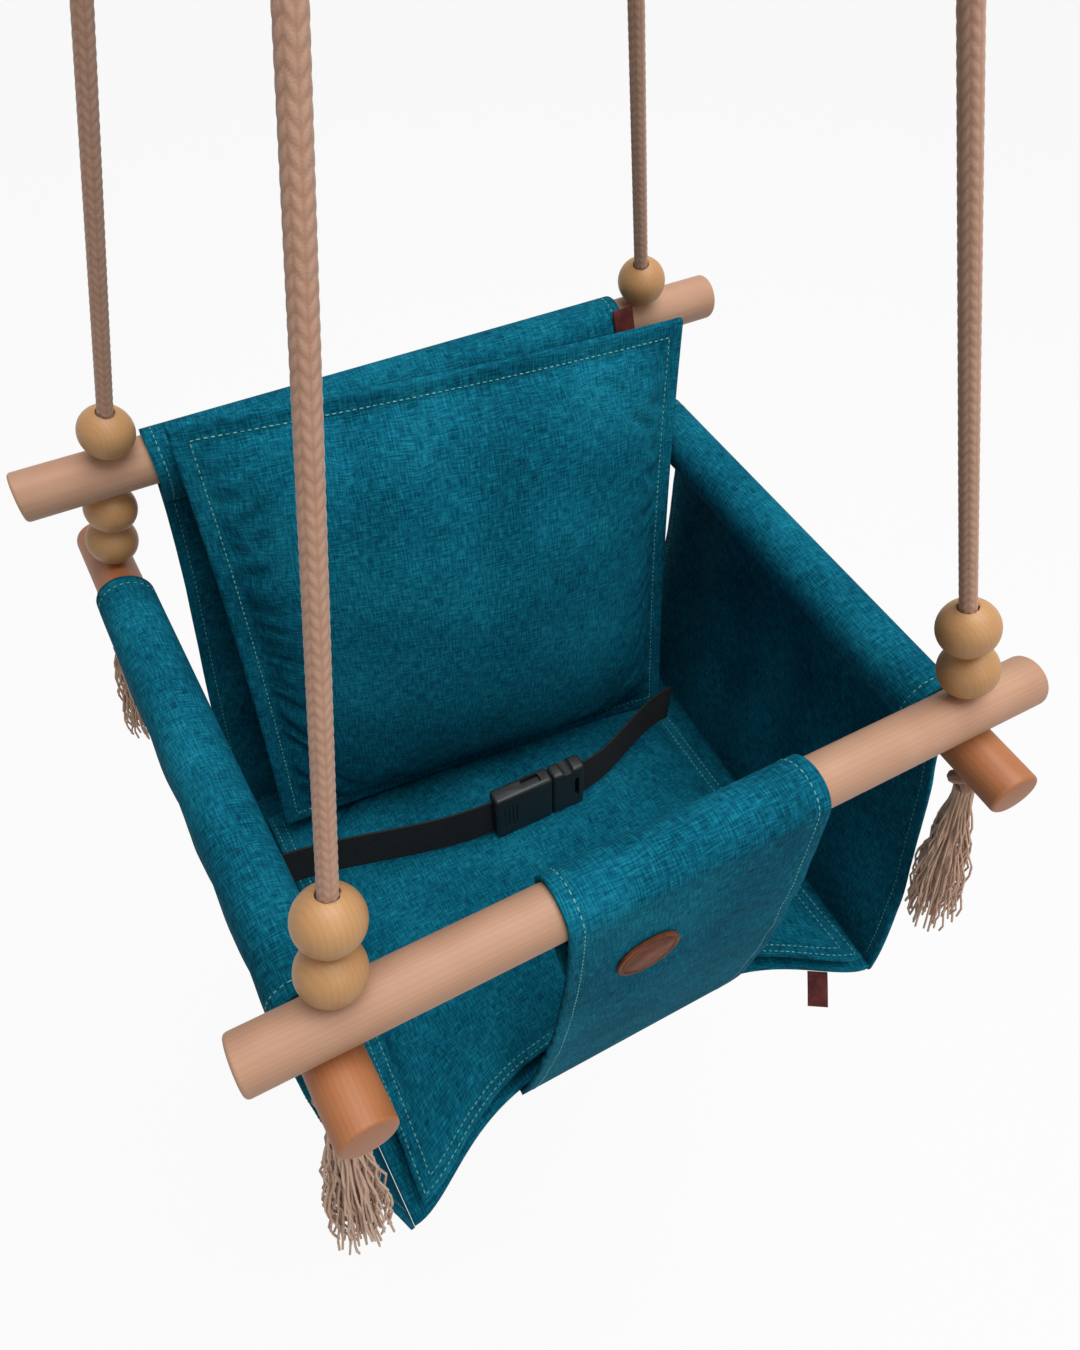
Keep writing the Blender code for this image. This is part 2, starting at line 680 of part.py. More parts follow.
def make_buckle():
    """A socket and a tongue with two springy prongs that show in the socket's side windows."""
    mouth = BUCKLE_X + SOCKET_LENGTH / 2
    inside_y = BUCKLE_THICKNESS - 2 * SOCKET_WALL
    inside_z = BUCKLE_WIDTH - 2 * SOCKET_WALL
    socket = box("buckle_socket", (SOCKET_LENGTH, BUCKLE_THICKNESS, BUCKLE_WIDTH), BLACK_PLASTIC)
    socket.location = (BUCKLE_X, BELT_Y, BELT_Z)
    bevel(socket, BUCKLE_EDGE)
    hollow = box("socket_hollow", (SOCKET_LENGTH, inside_y, inside_z), None, CUTTERS)
    hollow.location = (BUCKLE_X + SOCKET_WALL, BELT_Y, BELT_Z)
    window = box("socket_windows", (WINDOW_LENGTH, inside_y, 2 * BUCKLE_WIDTH), None, CUTTERS)
    window.location = (mouth - WINDOW_SETBACK - WINDOW_LENGTH / 2, BELT_Y, BELT_Z)
    cut(socket, hollow)
    cut(socket, window)

    fit_y = inside_y - 2 * BUCKLE_PLAY
    root = mouth + BUCKLE_PLAY
    guide_length = TONGUE_REACH + TONGUE_BASE / 2
    guide = box("tongue_guide", (guide_length, fit_y, TONGUE_GUIDE), None, CUTTERS)
    guide.location = (root - TONGUE_REACH + guide_length / 2, BELT_Y, BELT_Z)
    guide.hide_render = True
    guide.display_type = "WIRE"
    tongue = box("buckle_tongue", (TONGUE_BASE, BUCKLE_THICKNESS, BUCKLE_WIDTH), BLACK_PLASTIC)
    tongue.location = (root + TONGUE_BASE / 2, BELT_Y, BELT_Z)
    bevel(tongue, BUCKLE_EDGE)
    joined = tongue.modifiers.new("guide", "BOOLEAN")
    joined.operation = "UNION"
    joined.object = guide
    for name, sign in (("upper", 1), ("lower", -1)):
        prong = box("buckle_prong_" + name, (PRONG_REACH, fit_y, PRONG_THICKNESS), BLACK_PLASTIC)
        height = inside_z / 2 - BUCKLE_PLAY - PRONG_THICKNESS / 2
        prong.location = (root - GAP - PRONG_REACH / 2, BELT_Y, BELT_Z + sign * height)

    belt_webbing("belt_left", BUCKLE_X - SOCKET_LENGTH / 2 - GAP, -BELT_LEFT_REACH)
    belt_webbing("belt_right", root + TONGUE_BASE + GAP, BELT_RIGHT_REACH)


def make_leather():
    """The blank round patch on the strap and the two sewn-in tags."""
    down = STRAP_FALL * 2 / math.pi * math.asin(PATCH_DROP / STRAP_DROP)
    out, up = strap_way(down)
    next_out, next_up = strap_way(down + 0.01)
    normal = Vector((0, next_up - up, next_out - out)).normalized()
    patch = cylinder("leather_patch", PATCH_DIAMETER / 2, LEATHER, LEATHER_BROWN)
    place = Vector((PATCH_SHIFT, FRONT_ROD.y - out, FRONT_ROD.z + up))
    place += normal * (CLOTH / 2 + 2 * GAP + LEATHER / 2)
    patch.matrix_world = Matrix.Translation(place) @ turn_to(normal)

    rear = box("leather_tag_rear", (TAG_WIDTH, TAG_LENGTH, LEATHER), LEATHER_RED)
    seat_r = SLEEVE_R + CLOTH / 2 + 2 * GAP + LEATHER / 2
    tilt = math.radians(REAR_TAG_ANGLE)
    x = BACK_SLEEVE_WIDTH / 2 - REAR_TAG_INSET
    y = BACK_ROD.y - seat_r * math.sin(tilt)
    rear.location = (x, y, BACK_ROD.z + seat_r * math.cos(tilt))
    rear.rotation_euler.x = tilt
    front = box("leather_tag_front", (TAG_WIDTH, TAG_LENGTH, LEATHER), LEATHER_RED)
    edge = seat_edge(FRONT_TAG_X)
    half = TAG_WIDTH / 2
    along = (seat_edge(FRONT_TAG_X + half) - seat_edge(FRONT_TAG_X - half)).normalized()
    front.rotation_euler = (math.radians(FRONT_TAG_FALL), 0, math.atan2(along.y, along.x))
    reach = front.rotation_euler.to_matrix() @ Vector((0, TAG_LENGTH / 2, 0))
    front.location = edge - reach + Vector((along.y, -along.x, 0)) * TAG_CLEARANCE


def hang():
    """Tips the swing about the ring's lower bar until its weight hangs under the ring."""
    tip = Matrix.Rotation(math.radians(-HANG_TIP), 4, "X")
    hung = Matrix.Translation((0, 0, BAR_Z)) @ tip @ Matrix.Translation((0, HANG_FORWARD, -BAR_Z))
    bpy.context.view_layer.update()
    for obj in [*PARTS.objects, *CUTTERS.objects]:
        if obj.name != "hang_ring":
            obj.matrix_world = hung @ obj.matrix_world


def main():
    make_ring()
    make_gather_knot()
    make_rods()
    make_beads()
    for corner in CORNERS.values():
        make_rope(corner)
    make_back_panel()
    make_side_panel("left", -1)
    make_side_panel("right", 1)
    make_seat_panel()
    make_strap()
    make_cushions()
    make_buckle()
    make_leather()
    hang()


main()
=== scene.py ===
# %% [markdown]
# # A cloth bucket swing, dressed for a picture
# The frame holds the plain solids of the swing. This lesson keeps their places and gives every piece
# its real surface: braided rope, turned beads, sewn linen-look cloth, filled cushions and yarn tassels.

import json
import math
import random

import bmesh
import bpy
import numpy as np
from mathutils import Euler, Matrix, Vector, noise

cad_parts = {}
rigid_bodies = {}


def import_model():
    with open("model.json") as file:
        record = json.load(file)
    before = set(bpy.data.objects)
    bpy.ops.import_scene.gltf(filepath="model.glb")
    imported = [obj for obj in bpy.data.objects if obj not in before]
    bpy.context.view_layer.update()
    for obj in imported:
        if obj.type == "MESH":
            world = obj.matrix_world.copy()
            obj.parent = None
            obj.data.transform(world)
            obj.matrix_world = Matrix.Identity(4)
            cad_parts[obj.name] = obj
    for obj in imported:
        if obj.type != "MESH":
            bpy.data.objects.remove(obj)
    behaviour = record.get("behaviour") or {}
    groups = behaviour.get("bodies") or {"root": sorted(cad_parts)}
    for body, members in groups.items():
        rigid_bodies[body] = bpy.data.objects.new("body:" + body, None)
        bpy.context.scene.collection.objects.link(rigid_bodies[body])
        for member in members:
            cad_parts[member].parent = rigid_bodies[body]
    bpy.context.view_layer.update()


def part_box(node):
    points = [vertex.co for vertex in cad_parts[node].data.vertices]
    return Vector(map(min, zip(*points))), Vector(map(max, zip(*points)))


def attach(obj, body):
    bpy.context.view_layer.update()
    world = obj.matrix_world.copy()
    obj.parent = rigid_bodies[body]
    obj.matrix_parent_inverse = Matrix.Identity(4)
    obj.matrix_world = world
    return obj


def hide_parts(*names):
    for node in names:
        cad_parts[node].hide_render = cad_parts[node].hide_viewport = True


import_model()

# %% [markdown]
# ## The camera
# The picture was taken from above and a little to the left of the front rod, quite close, so the ropes
# fan out of the frame. A lens and a place that bring beads, rods and ropes onto the photograph were
# found first, because every later choice is judged through this camera.

# %% Camera
LENS = 32.92
CAMERA_PLACE = Vector((-0.1662, -0.35975, -0.42641))
CAMERA_RIGHT = Vector((0.884905, -0.465486, 0.016297))
CAMERA_UP = Vector((0.359611, 0.705033, 0.611235))
CAMERA_BACK = Vector((-0.296012, -0.535023, 0.791282))

lens = bpy.data.cameras.new("camera")
lens.lens = LENS
lens.sensor_width = 36
lens.sensor_fit = "HORIZONTAL"
lens.clip_start = 0.01
camera = bpy.data.objects.new("camera", lens)
bpy.context.scene.collection.objects.link(camera)
axes = Matrix((CAMERA_RIGHT, CAMERA_UP, CAMERA_BACK)).transposed().to_4x4()
camera.matrix_world = Matrix.Translation(CAMERA_PLACE) @ axes
bpy.context.scene.camera = camera
print("camera looks down", round(math.degrees(math.asin(CAMERA_BACK.z))), "degrees")

# %% [markdown]
# ## Places shared by the pieces
# The ropes run straight from the side rods' axes up to one gathering knot under the hanging ring. The
# pieces' places are read from the frame, and the few sizes that it can't tell are written here once.
#
# The back pillow is the heaviest piece, so the empty swing hangs tipped back a little. It is easier to
# build it level, with the rods' middle over the origin, and to tip each finished piece about the ring.

# %% Places and sizes
GAP = 0.0003
HANG_FORWARD = 0.0185
HANG_TIP = math.radians(3.49)
BAR_Z = -0.044
GATHER = Vector((0, -HANG_FORWARD, -0.075))
GATHER_R = 0.020
ROD_R = 0.014
ROPE_D = 0.0085
END_KNOT_R = 0.0115
BEAD_R = 0.015
BEAD_HOLE_R = 0.005
TASSEL_LENGTH = 0.146
TASSEL_HANG = 0.52
CLOTH = 0.0026
SLEEVE_CLEARANCE = 0.0006
FRONT_SPACING = 0.357
BACK_SPACING = 0.392
DEPTH_SPACING = 0.357
TIP = Matrix.Rotation(-HANG_TIP, 4, "X")
HUNG = Matrix.Translation((0, 0, BAR_Z)) @ TIP @ Matrix.Translation((0, HANG_FORWARD, -BAR_Z))


def middle_of(node):
    """The middle of a solid, as it lies in the level swing."""
    low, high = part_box(node)
    return HUNG.inverted() @ ((Vector(low) + Vector(high)) / 2)


FRONT_ROD = middle_of("front_rod")
BACK_ROD = middle_of("back_rod")
SIDE_Z = middle_of("left_side_rod").z
SLEEVE_R = ROD_R + SLEEVE_CLEARANCE + CLOTH / 2
FEET = {
    "front_left": Vector((-FRONT_SPACING / 2, -DEPTH_SPACING / 2, SIDE_Z)),
    "front_right": Vector((FRONT_SPACING / 2, -DEPTH_SPACING / 2, SIDE_Z)),
    "back_left": Vector((-BACK_SPACING / 2, DEPTH_SPACING / 2, SIDE_Z)),
    "back_right": Vector((BACK_SPACING / 2, DEPTH_SPACING / 2, SIDE_Z)),
}
WAYS = {corner: (GATHER - foot).normalized() for corner, foot in FEET.items()}
print("side rods at", round(SIDE_Z, 3), "tipped by", round(math.degrees(HANG_TIP), 1), "degrees")

# %% [markdown]
# ## Small helpers
# Everything is deselected before an operator runs, because the frame's solids come in selected. A
# mesh made from rows of points gets its faces here. A piece is built in the level swing and is tipped
# into its hanging place when it gets its finish.

# %% Helpers for meshes


def deselect():
    for other in bpy.context.selected_objects:
        other.select_set(False)


def select_only(piece):
    deselect()
    piece.select_set(True)
    bpy.context.view_layer.objects.active = piece


def apply_all(piece):
    select_only(piece)
    for modifier in list(piece.modifiers):
        bpy.ops.object.modifier_apply(modifier=modifier.name)


def settle(piece):
    """Puts a piece's place into its mesh and leaves its object at the origin."""
    select_only(piece)
    bpy.ops.object.transform_apply(location=True, rotation=True, scale=True)


def piece_of(name, points, faces):
    mesh = bpy.data.meshes.new(name)
    mesh.from_pydata([tuple(point) for point in points], [], [tuple(face) for face in faces])
    mesh.update()
    made = bpy.data.objects.new(name, mesh)
    bpy.context.scene.collection.objects.link(made)
    return made


def grid_faces(rows, columns, closed=False):
    """Four-sided faces between rows of points. A closed grid also joins each row's end to its start."""
    row = np.arange(rows - 1)[:, None]
    column = np.arange(columns if closed else columns - 1)[None, :]
    next_column = (column + 1) % columns
    corners = (
        row * columns + column,
        row * columns + next_column,
        (row + 1) * columns + next_column,
        (row + 1) * columns + column,
    )
    return np.stack([np.broadcast_to(c, (row.size, column.size)) for c in corners], -1).reshape(-1, 4)


def turn_to(direction):
    """The turn that brings the Z axis onto a direction."""
    return Vector((0, 0, 1)).rotation_difference(direction).to_matrix().to_4x4()


def ease(share):
    """A share from 0 to 1 that starts and ends gently."""
    share = min(1, max(0, share))
    return share * share * (3 - 2 * share)


def triangles(piece):
    piece.data.calc_loop_triangles()
    return len(piece.data.loop_triangles)


# %% Helpers for materials


def linear(code):
    """A linear colour from an sRGB hex code such as #0F647C."""
    channels = [int(code[place : place + 2], 16) / 255 for place in (1, 3, 5)]
    return [c / 12.92 if c <= 0.04045 else ((c + 0.055) / 1.055) ** 2.4 for c in channels] + [1]


def new_material(name):
    made = bpy.data.materials.new(name)
    made.use_nodes = True
    return made, made.node_tree.nodes["Principled BSDF"]


def plug(finish, node, sockets):
    """Gives a node's sockets their values, or links them to the outputs that feed them."""
    for key, value in sockets.items():
        if isinstance(value, bpy.types.NodeSocket):
            finish.node_tree.links.new(value, node.inputs[key])
        else:
            node.inputs[key].default_value = value


def add(finish, kind, sockets=None, stops=(), **settings):
    """Adds a node to a finish. Stops are a colour ramp's (place, colour) pairs. It comes with two."""
    node = finish.node_tree.nodes.new(kind)
    for key, value in settings.items():
        setattr(node, key, value)
    plug(finish, node, sockets or {})
    for _ in stops[2:]:
        node.color_ramp.elements.new(0.5)
    for number, (place, code) in enumerate(stops):
        node.color_ramp.elements[number].position = place
        node.color_ramp.elements[number].color = linear(code)
    return node


def give(piece, finish, body="seat"):
    """Hangs a finished piece and gives it its finish and the body it moves with."""
    if body != "ring":
        piece.data.transform(HUNG)
    piece.data.materials.clear()
    piece.data.materials.append(finish)
    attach(piece, body)


# %% [markdown]
# ## Cotton rope finish
# The ropes are braided cotton, undyed and slightly pink. A braid could be drawn by the finish alone, but
# the nearest rope shows its relief. So the braid is modelled, and the finish paints shade into its
# grooves and light onto its crowns, read from an attribute, and mottles the yarn.

# %% Cotton rope
ROPE_MOTTLE_MM = 9
YARN_MM = 0.8
YARN_BUMP = 0.0003


def cotton(name, dark, mid, light):
    """Dull, soft yarn with a faint fuzzy sheen: painted shade between the strands, painted light on their
    crowns.
    """
    finish, shader = new_material(name)
    # On a rope the height is low in the grooves and high on the strands, so the ramp paints shade and light
    # with it.
    groove = add(finish, "ShaderNodeAttribute", attribute_name="height")
    spot = add(finish, "ShaderNodeTexCoord")
    mottle = add(
        finish,
        "ShaderNodeTexNoise",
        {"Vector": spot.outputs["Object"], "Scale": 1000 / ROPE_MOTTLE_MM, "Detail": 3},
    )
    yarn = add(
        finish,
        "ShaderNodeTexNoise",
        {"Vector": spot.outputs["Object"], "Scale": 1000 / YARN_MM, "Detail": 2},
    )
    both = add(
        finish,
        "ShaderNodeMix",
        {"Factor": 0.35, "A": groove.outputs["Fac"], "B": mottle.outputs["Fac"]},
    )
    tint = add(
        finish,
        "ShaderNodeValToRGB",
        {"Fac": both.outputs["Result"]},
        stops=((0.15, dark), (0.55, mid), (0.9, light)),
    )
    bump = add(
        finish,
        "ShaderNodeBump",
        {"Height": yarn.outputs["Fac"], "Strength": 0.5, "Distance": YARN_BUMP},
    )
    plug(finish, shader, {"Base Color": tint.outputs["Color"], "Normal": bump.outputs["Normal"]})
    plug(finish, shader, {"Roughness": 0.9, "Sheen Weight": 0.25, "Sheen Roughness": 0.6})
    return finish


# On the rope the dark stop is painted shade in the grooves and the light stop is painted light on the
# crowns.
COTTON_ROPE = cotton("undyed_cotton_rope", "#AC8167", "#BF9278", "#CCA087")
COTTON_YARN = cotton("undyed_cotton_yarn", "#C79F80", "#DDB69A", "#EBCAB0")
print("finishes", COTTON_ROPE.name, "and", COTTON_YARN.name)

# %% [markdown]
# ## The four ropes
# A solid-braid rope shows upright columns of slanting stitches, turned one way and then the other, so
# that they read as a stack of small chevrons. Sweeping every strand would take far more faces, so the
# relief is worked out around and along one tube. Each rope is taut, because the swing hangs on it, and
# ends in the gathering knot.

# %% Braided rope
STITCH = 0.0048
COLUMNS = 8
AROUND = 48
ROPE_STEP = STITCH / 7
RELIEF = 0.085
STRAND_SLANT = 0.75
STRAND_ROUND = 0.6
COLUMN_EDGE = 0.35


def even_route(points, step):
    """The route again, with points an even step apart."""
    points = np.array([tuple(point) for point in points])
    lengths = np.linalg.norm(np.diff(points, axis=0), axis=1)
    travelled = np.concatenate([[0], np.cumsum(lengths)])
    count = max(2, int(round(travelled[-1] / step)) + 1)
    wanted = np.linspace(0, travelled[-1], count)
    return np.stack([np.interp(wanted, travelled, points[:, axis]) for axis in range(3)], 1), wanted


def frames_along(route):
    """Two directions across the route at each point, carried along without twisting."""
    tangents = np.gradient(route, axis=0)
    tangents /= np.linalg.norm(tangents, axis=1)[:, None]
    start = Vector(tangents[0]).orthogonal().normalized()
    sides = [np.array(start)]
    for tangent in tangents[1:]:
        side = sides[-1] - tangent * np.dot(sides[-1], tangent)
        sides.append(side / np.linalg.norm(side))
    sides = np.array(sides)
    return sides, np.cross(tangents, sides)


def braid(turn, along):
    """The braid's height from 0 in a groove to 1 on a strand."""
    column = turn * COLUMNS
    across = column % 1
    slant = np.where(np.floor(column) % 2 == 0, across, 1 - across)
    strand = np.abs(np.sin(np.pi * (along / STITCH + STRAND_SLANT * slant)))
    crown = 1 - np.abs(2 * across - 1) ** 3
    return strand**STRAND_ROUND * (COLUMN_EDGE + (1 - COLUMN_EDGE) * crown)


def rope_piece(name, points, diameter=ROPE_D):
    """A closed braided tube along a route."""
    route, along = even_route(points, ROPE_STEP)
    sides, others = frames_along(route)
    turn = np.arange(AROUND) / AROUND
    height = braid(turn[None, :], along[:, None])
    radius = diameter / 2 * (1 - RELIEF * (1 - height))
    angle = (2 * np.pi * turn)[None, :, None]
    outward = np.cos(angle) * sides[:, None, :] + np.sin(angle) * others[:, None, :]
    points = (route[:, None, :] + radius[:, :, None] * outward).reshape(-1, 3)
    faces = [list(face) for face in grid_faces(len(route), AROUND, closed=True)]
    faces.append(list(range(AROUND))[::-1])
    faces.append(list(range(len(points) - AROUND, len(points))))
    made = piece_of(name, points, faces)
    # The braid's height also goes to the finish, which paints shade in the grooves and light on the crowns
    # with it.
    made.data.attributes.new("height", "FLOAT", "POINT").data.foreach_set("value", height.ravel())
    made.data.shade_smooth()
    return made


# %% The ropes as cords
for corner, foot in FEET.items():
    way = WAYS[corner]
    below = (ROD_R + GAP) / math.hypot(way.x, way.z)
    start = foot - way * below
    end = GATHER - way * (GATHER_R - 2 * GAP)
    rope = rope_piece("braided_rope_" + corner, [start, end])
    give(rope, COTTON_ROPE)
    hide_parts("rope_" + corner)
    print(rope.name, round((end - start).length, 3), "m,", triangles(rope), "triangles")

# %% [markdown]
# ## End knots and tassels
# Under each side rod the rope is stopped by an overhand knot, and what is left of it is combed out into
# a tassel of loose yarn. The knot is the classic three-lobed curve pulled tight. The yarn is a bundle of
# thin wavy curves that start together and spread, with a fixed seed so that it falls the same each time.

# %% End knots
KNOT_POINTS = 90
KNOT_SPREAD = 0.0024
KNOT_DEPTH = 0.0034
KNOT_ROPE_D = 0.0082


def knot_centre(corner):
    way = WAYS[corner]
    return FEET[corner] - way * ((ROD_R + END_KNOT_R + GAP) / math.hypot(way.x, way.z))


for corner in FEET:
    route = []
    for step in range(KNOT_POINTS + 1):
        turn = 2 * math.pi * step / KNOT_POINTS
        across = KNOT_SPREAD * (math.sin(turn) + 2 * math.sin(2 * turn))
        upward = KNOT_SPREAD * (math.cos(turn) - 2 * math.cos(2 * turn))
        route.append(Vector((across, -KNOT_DEPTH * math.sin(3 * turn), upward)))
    place = Matrix.Translation(knot_centre(corner)) @ turn_to(WAYS[corner])
    knot = rope_piece("overhand_knot_" + corner, [place @ point for point in route], KNOT_ROPE_D)
    give(knot, COTTON_ROPE)
    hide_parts("knot_" + corner)
print("knots of", triangles(knot), "triangles")

# %% Yarn tassels
STRANDS = 110
STRAND_R = 0.00068
STRAND_STEPS = 14
TASSEL_NECK = 0.0055
TASSEL_FLARE = 0.0160
WAVE = 0.0019
YARN_LENGTHS = (0.80, 0.99)
YARN_WAVES = (2.0, 4.5)
YARN_LEAN = 0.5
FLARE_SHARE = 0.75
TASSEL_SINK = 0.8
YARN_FLECK_MM = 2.5


def strand_route(chance):
    """One yarn from the knot down, in a frame whose Z runs up the tassel."""
    turn = chance.uniform(0, 2 * math.pi)
    spread = math.sqrt(chance.random())
    length = TASSEL_LENGTH * chance.uniform(*YARN_LENGTHS)
    phase = chance.uniform(0, 2 * math.pi)
    waves = chance.uniform(*YARN_WAVES)
    lean = chance.uniform(-YARN_LEAN, YARN_LEAN)
    route = []
    for step in range(STRAND_STEPS + 1):
        share = step / STRAND_STEPS
        flare = TASSEL_NECK + (TASSEL_FLARE - TASSEL_NECK) * ease(share / FLARE_SHARE)
        wobble = WAVE * min(1, 3 * share) * math.sin(2 * math.pi * waves * share + phase)
        angle = turn + lean * share
        radius = flare * spread + wobble
        route.append((radius * math.cos(angle), radius * math.sin(angle), -length * share))
    return route


def make_tassel(corner, seed):
    chance = random.Random(seed)
    curve = bpy.data.curves.new("yarn", "CURVE")
    curve.dimensions = "3D"
    curve.bevel_depth = STRAND_R
    curve.bevel_resolution = 1
    curve.use_fill_caps = True
    for _ in range(STRANDS):
        spline = curve.splines.new("POLY")
        route = strand_route(chance)
        spline.points.add(len(route) - 1)
        for point, place in zip(spline.points, route):
            point.co = (*place, 1)
    tassel = bpy.data.objects.new("yarn_tassel_" + corner, curve)
    bpy.context.scene.collection.objects.link(tassel)
    select_only(tassel)
    bpy.ops.object.convert(target="MESH")
    upward = WAYS[corner].lerp(Vector((0, 0, 1)), TASSEL_HANG).normalized()
    top = knot_centre(corner) - upward * (END_KNOT_R * TASSEL_SINK)
    tassel.data.transform(Matrix.Translation(top) @ turn_to(upward))
    flecks = [noise.noise(vert.co * (1000 / YARN_FLECK_MM)) for vert in tassel.data.vertices]
    heights = [(1 + fleck_and_glint) / 2 for fleck_and_glint in flecks]
    tassel.data.attributes.new("height", "FLOAT", "POINT").data.foreach_set("value", heights)
    tassel.data.shade_smooth()
    give(tassel, COTTON_YARN)
    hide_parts("tassel_" + corner)
    return tassel


for seed, corner in enumerate(FEET):
    tassel = make_tassel(corner, seed)
print("tassels of", STRANDS, "yarns,", triangles(tassel), "triangles each")

# %% [markdown]
# ## Gathering knot and hanging ring
# Above the picture the four ropes come together. A round lashing of the same rope binds them, inside the
# ball about which the ropes turn when the swing sways, and a loop of it passes round the ring's lower bar.
# The ring is a welded steel ring, so it shows a small weld.

# %% Gathering lashing
RING_R = 0.004
RING_MEAN = 0.024
RING_MIDDLE = Vector((0, 0, BAR_Z + RING_MEAN))
LOOP_CLEARANCE = 0.0008
LASH_R = 0.0122
LASH_BALL = GATHER_R - ROPE_D / 2 - LOOP_CLEARANCE
LASH_TURNS = 3
LASH_RISE = 0.025
CORE_D = 0.0165
CORE_RISE = 0.033
ARCH_STEPS = 24


def ball_winding(steps=40):
    """The way of the lashing, whose end turns are narrower than the ones between them."""
    route = []
    for step in range(LASH_TURNS * steps + 1):
        turn = 2 * math.pi * step / steps
        up = LASH_RISE * (step / (LASH_TURNS * steps) - 0.5)
        radius = min(LASH_R, math.sqrt(LASH_BALL**2 - up**2))
        route.append(GATHER + Vector((radius * math.cos(turn), radius * math.sin(turn), up)))
    return route


bend = RING_R + LOOP_CLEARANCE + ROPE_D / 2
turns = [math.pi * step / ARCH_STEPS for step in range(ARCH_STEPS + 1)]
arch = [Vector((0, bend * math.cos(turn), BAR_Z - GATHER.z + bend * math.sin(turn))) for turn in turns]
loop_route = [Vector((0, bend, 0)), *arch, Vector((0, -bend, 0))]
half_rise = Vector((0, 0, CORE_RISE / 2))
lashing = rope_piece("gathering_lashing", ball_winding())
loop = rope_piece("loop", [GATHER + place for place in loop_route])
core = rope_piece("core", [GATHER - half_rise, GATHER + half_rise], CORE_D)
select_only(lashing)
loop.select_set(True)
core.select_set(True)
bpy.ops.object.join()
give(lashing, COTTON_ROPE, "gather")
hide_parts("gather_knot")
print("lashing", triangles(lashing), "triangles")

# %% Steel finish
# Drawn steel, polished by handling: it mirrors the room, a little duller where it is scuffed.
SCUFF_MM = 2.5
STEEL, shader = new_material("polished_steel")
spot = add(STEEL, "ShaderNodeTexCoord")
scuff = add(
    STEEL,
    "ShaderNodeTexNoise",
    {"Vector": spot.outputs["Object"], "Scale": 1000 / SCUFF_MM, "Detail": 4},
)
polish = add(STEEL, "ShaderNodeMapRange", {"Value": scuff.outputs["Fac"], "To Min": 0.18, "To Max": 0.36})
plug(STEEL, shader, {"Base Color": linear("#C9CACC"), "Metallic": 1, "Roughness": polish.outputs["Result"]})
print("finish", STEEL.name)

# %% Hanging ring
WELD_WIDTH = 0.0022
WELD_SWELL = 0.05
deselect()
bpy.ops.mesh.primitive_torus_add(
    major_radius=RING_MEAN,
    minor_radius=RING_R,
    major_segments=96,
    minor_segments=28,
    location=RING_MIDDLE,
    rotation=(math.pi / 2, 0, 0),
)
ring = bpy.context.object
ring.name = "welded_ring"
settle(ring)
weld = RING_MIDDLE + Vector((RING_MEAN, 0, 0))
for vert in ring.data.vertices:
    off = vert.co - weld
    if vert.co.x > RING_MIDDLE.x:
        vert.co += Vector((off.x, off.y, 0)) * WELD_SWELL * math.exp(-((off.z / WELD_WIDTH) ** 2))
ring.data.shade_smooth()
give(ring, STEEL, "ring")
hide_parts("hang_ring")
print("ring", round(2 * RING_MEAN, 3), "m across its bar")

# %% [markdown]
# ## Wood: rods and beads
# The rods are sanded dowels, pale for the cross rods and warmer for the side rods, and the beads are
# turned from a yellower wood. Wood is a stack of growth rings, so the finish cuts rings about a pith that
# lies off the axis: long grain lines on a rod's side and arcs on its end come out of the same pattern.

# %% Wood finish
RING_MM = 2.4
PORE_MM = 0.4
BLOTCH_MM = 35.7
PORE_BUMP = 0.0002
GRAIN_STRETCH = 0.035
WAVE_TURN = 20


def keep_grain(piece, place, shift):
    """Notes where each point lay in its blank, with the grain along Z."""
    blank = place.inverted()
    spots = np.array([blank @ vert.co + shift for vert in piece.data.vertices])
    piece.data.attributes.new("grain", "FLOAT_VECTOR", "POINT").data.foreach_set("vector", spots.ravel())


def wood(name, dark, mid, light, roughness):
    """Sanded wood under a thin oil: soft lines of grain, fine pores and a low, broad gloss."""
    finish, shader = new_material(name)
    blank = add(finish, "ShaderNodeAttribute", attribute_name="grain")
    fibre = add(
        finish,
        "ShaderNodeMapping",
        {"Vector": blank.outputs["Vector"], "Scale": (1, 1, GRAIN_STRETCH)},
    )
    rings = add(
        finish,
        "ShaderNodeTexWave",
        {
            "Vector": fibre.outputs["Vector"],
            "Scale": 2 * math.pi / (WAVE_TURN * RING_MM / 1000),
            "Distortion": 7.0,
            "Detail": 3,
            "Detail Scale": 0.6,
        },
        wave_type="RINGS",
        rings_direction="Z",
    )
    pores = add(
        finish,
        "ShaderNodeTexNoise",
        {"Vector": fibre.outputs["Vector"], "Scale": 1000 / PORE_MM, "Detail": 3},
    )
    blotch = add(
        finish,
        "ShaderNodeTexNoise",
        {"Vector": blank.outputs["Vector"], "Scale": 1000 / BLOTCH_MM, "Detail": 2},
    )
    fine = add(
        finish,
        "ShaderNodeMix",
        {"Factor": 0.6, "A": rings.outputs["Fac"], "B": pores.outputs["Fac"]},
    )
    both = add(
        finish,
        "ShaderNodeMix",
        {"Factor": 0.7, "A": fine.outputs["Result"], "B": blotch.outputs["Fac"]},
    )
    tint = add(
        finish,
        "ShaderNodeValToRGB",
        {"Fac": both.outputs["Result"]},
        stops=((0.25, dark), (0.5, mid), (0.75, light)),
    )
    bump = add(
        finish,
        "ShaderNodeBump",
        {"Height": pores.outputs["Fac"], "Strength": 0.25, "Distance": PORE_BUMP},
    )
    plug(finish, shader, {"Base Color": tint.outputs["Color"], "Normal": bump.outputs["Normal"]})
    plug(finish, shader, {"Roughness": roughness})
    return finish


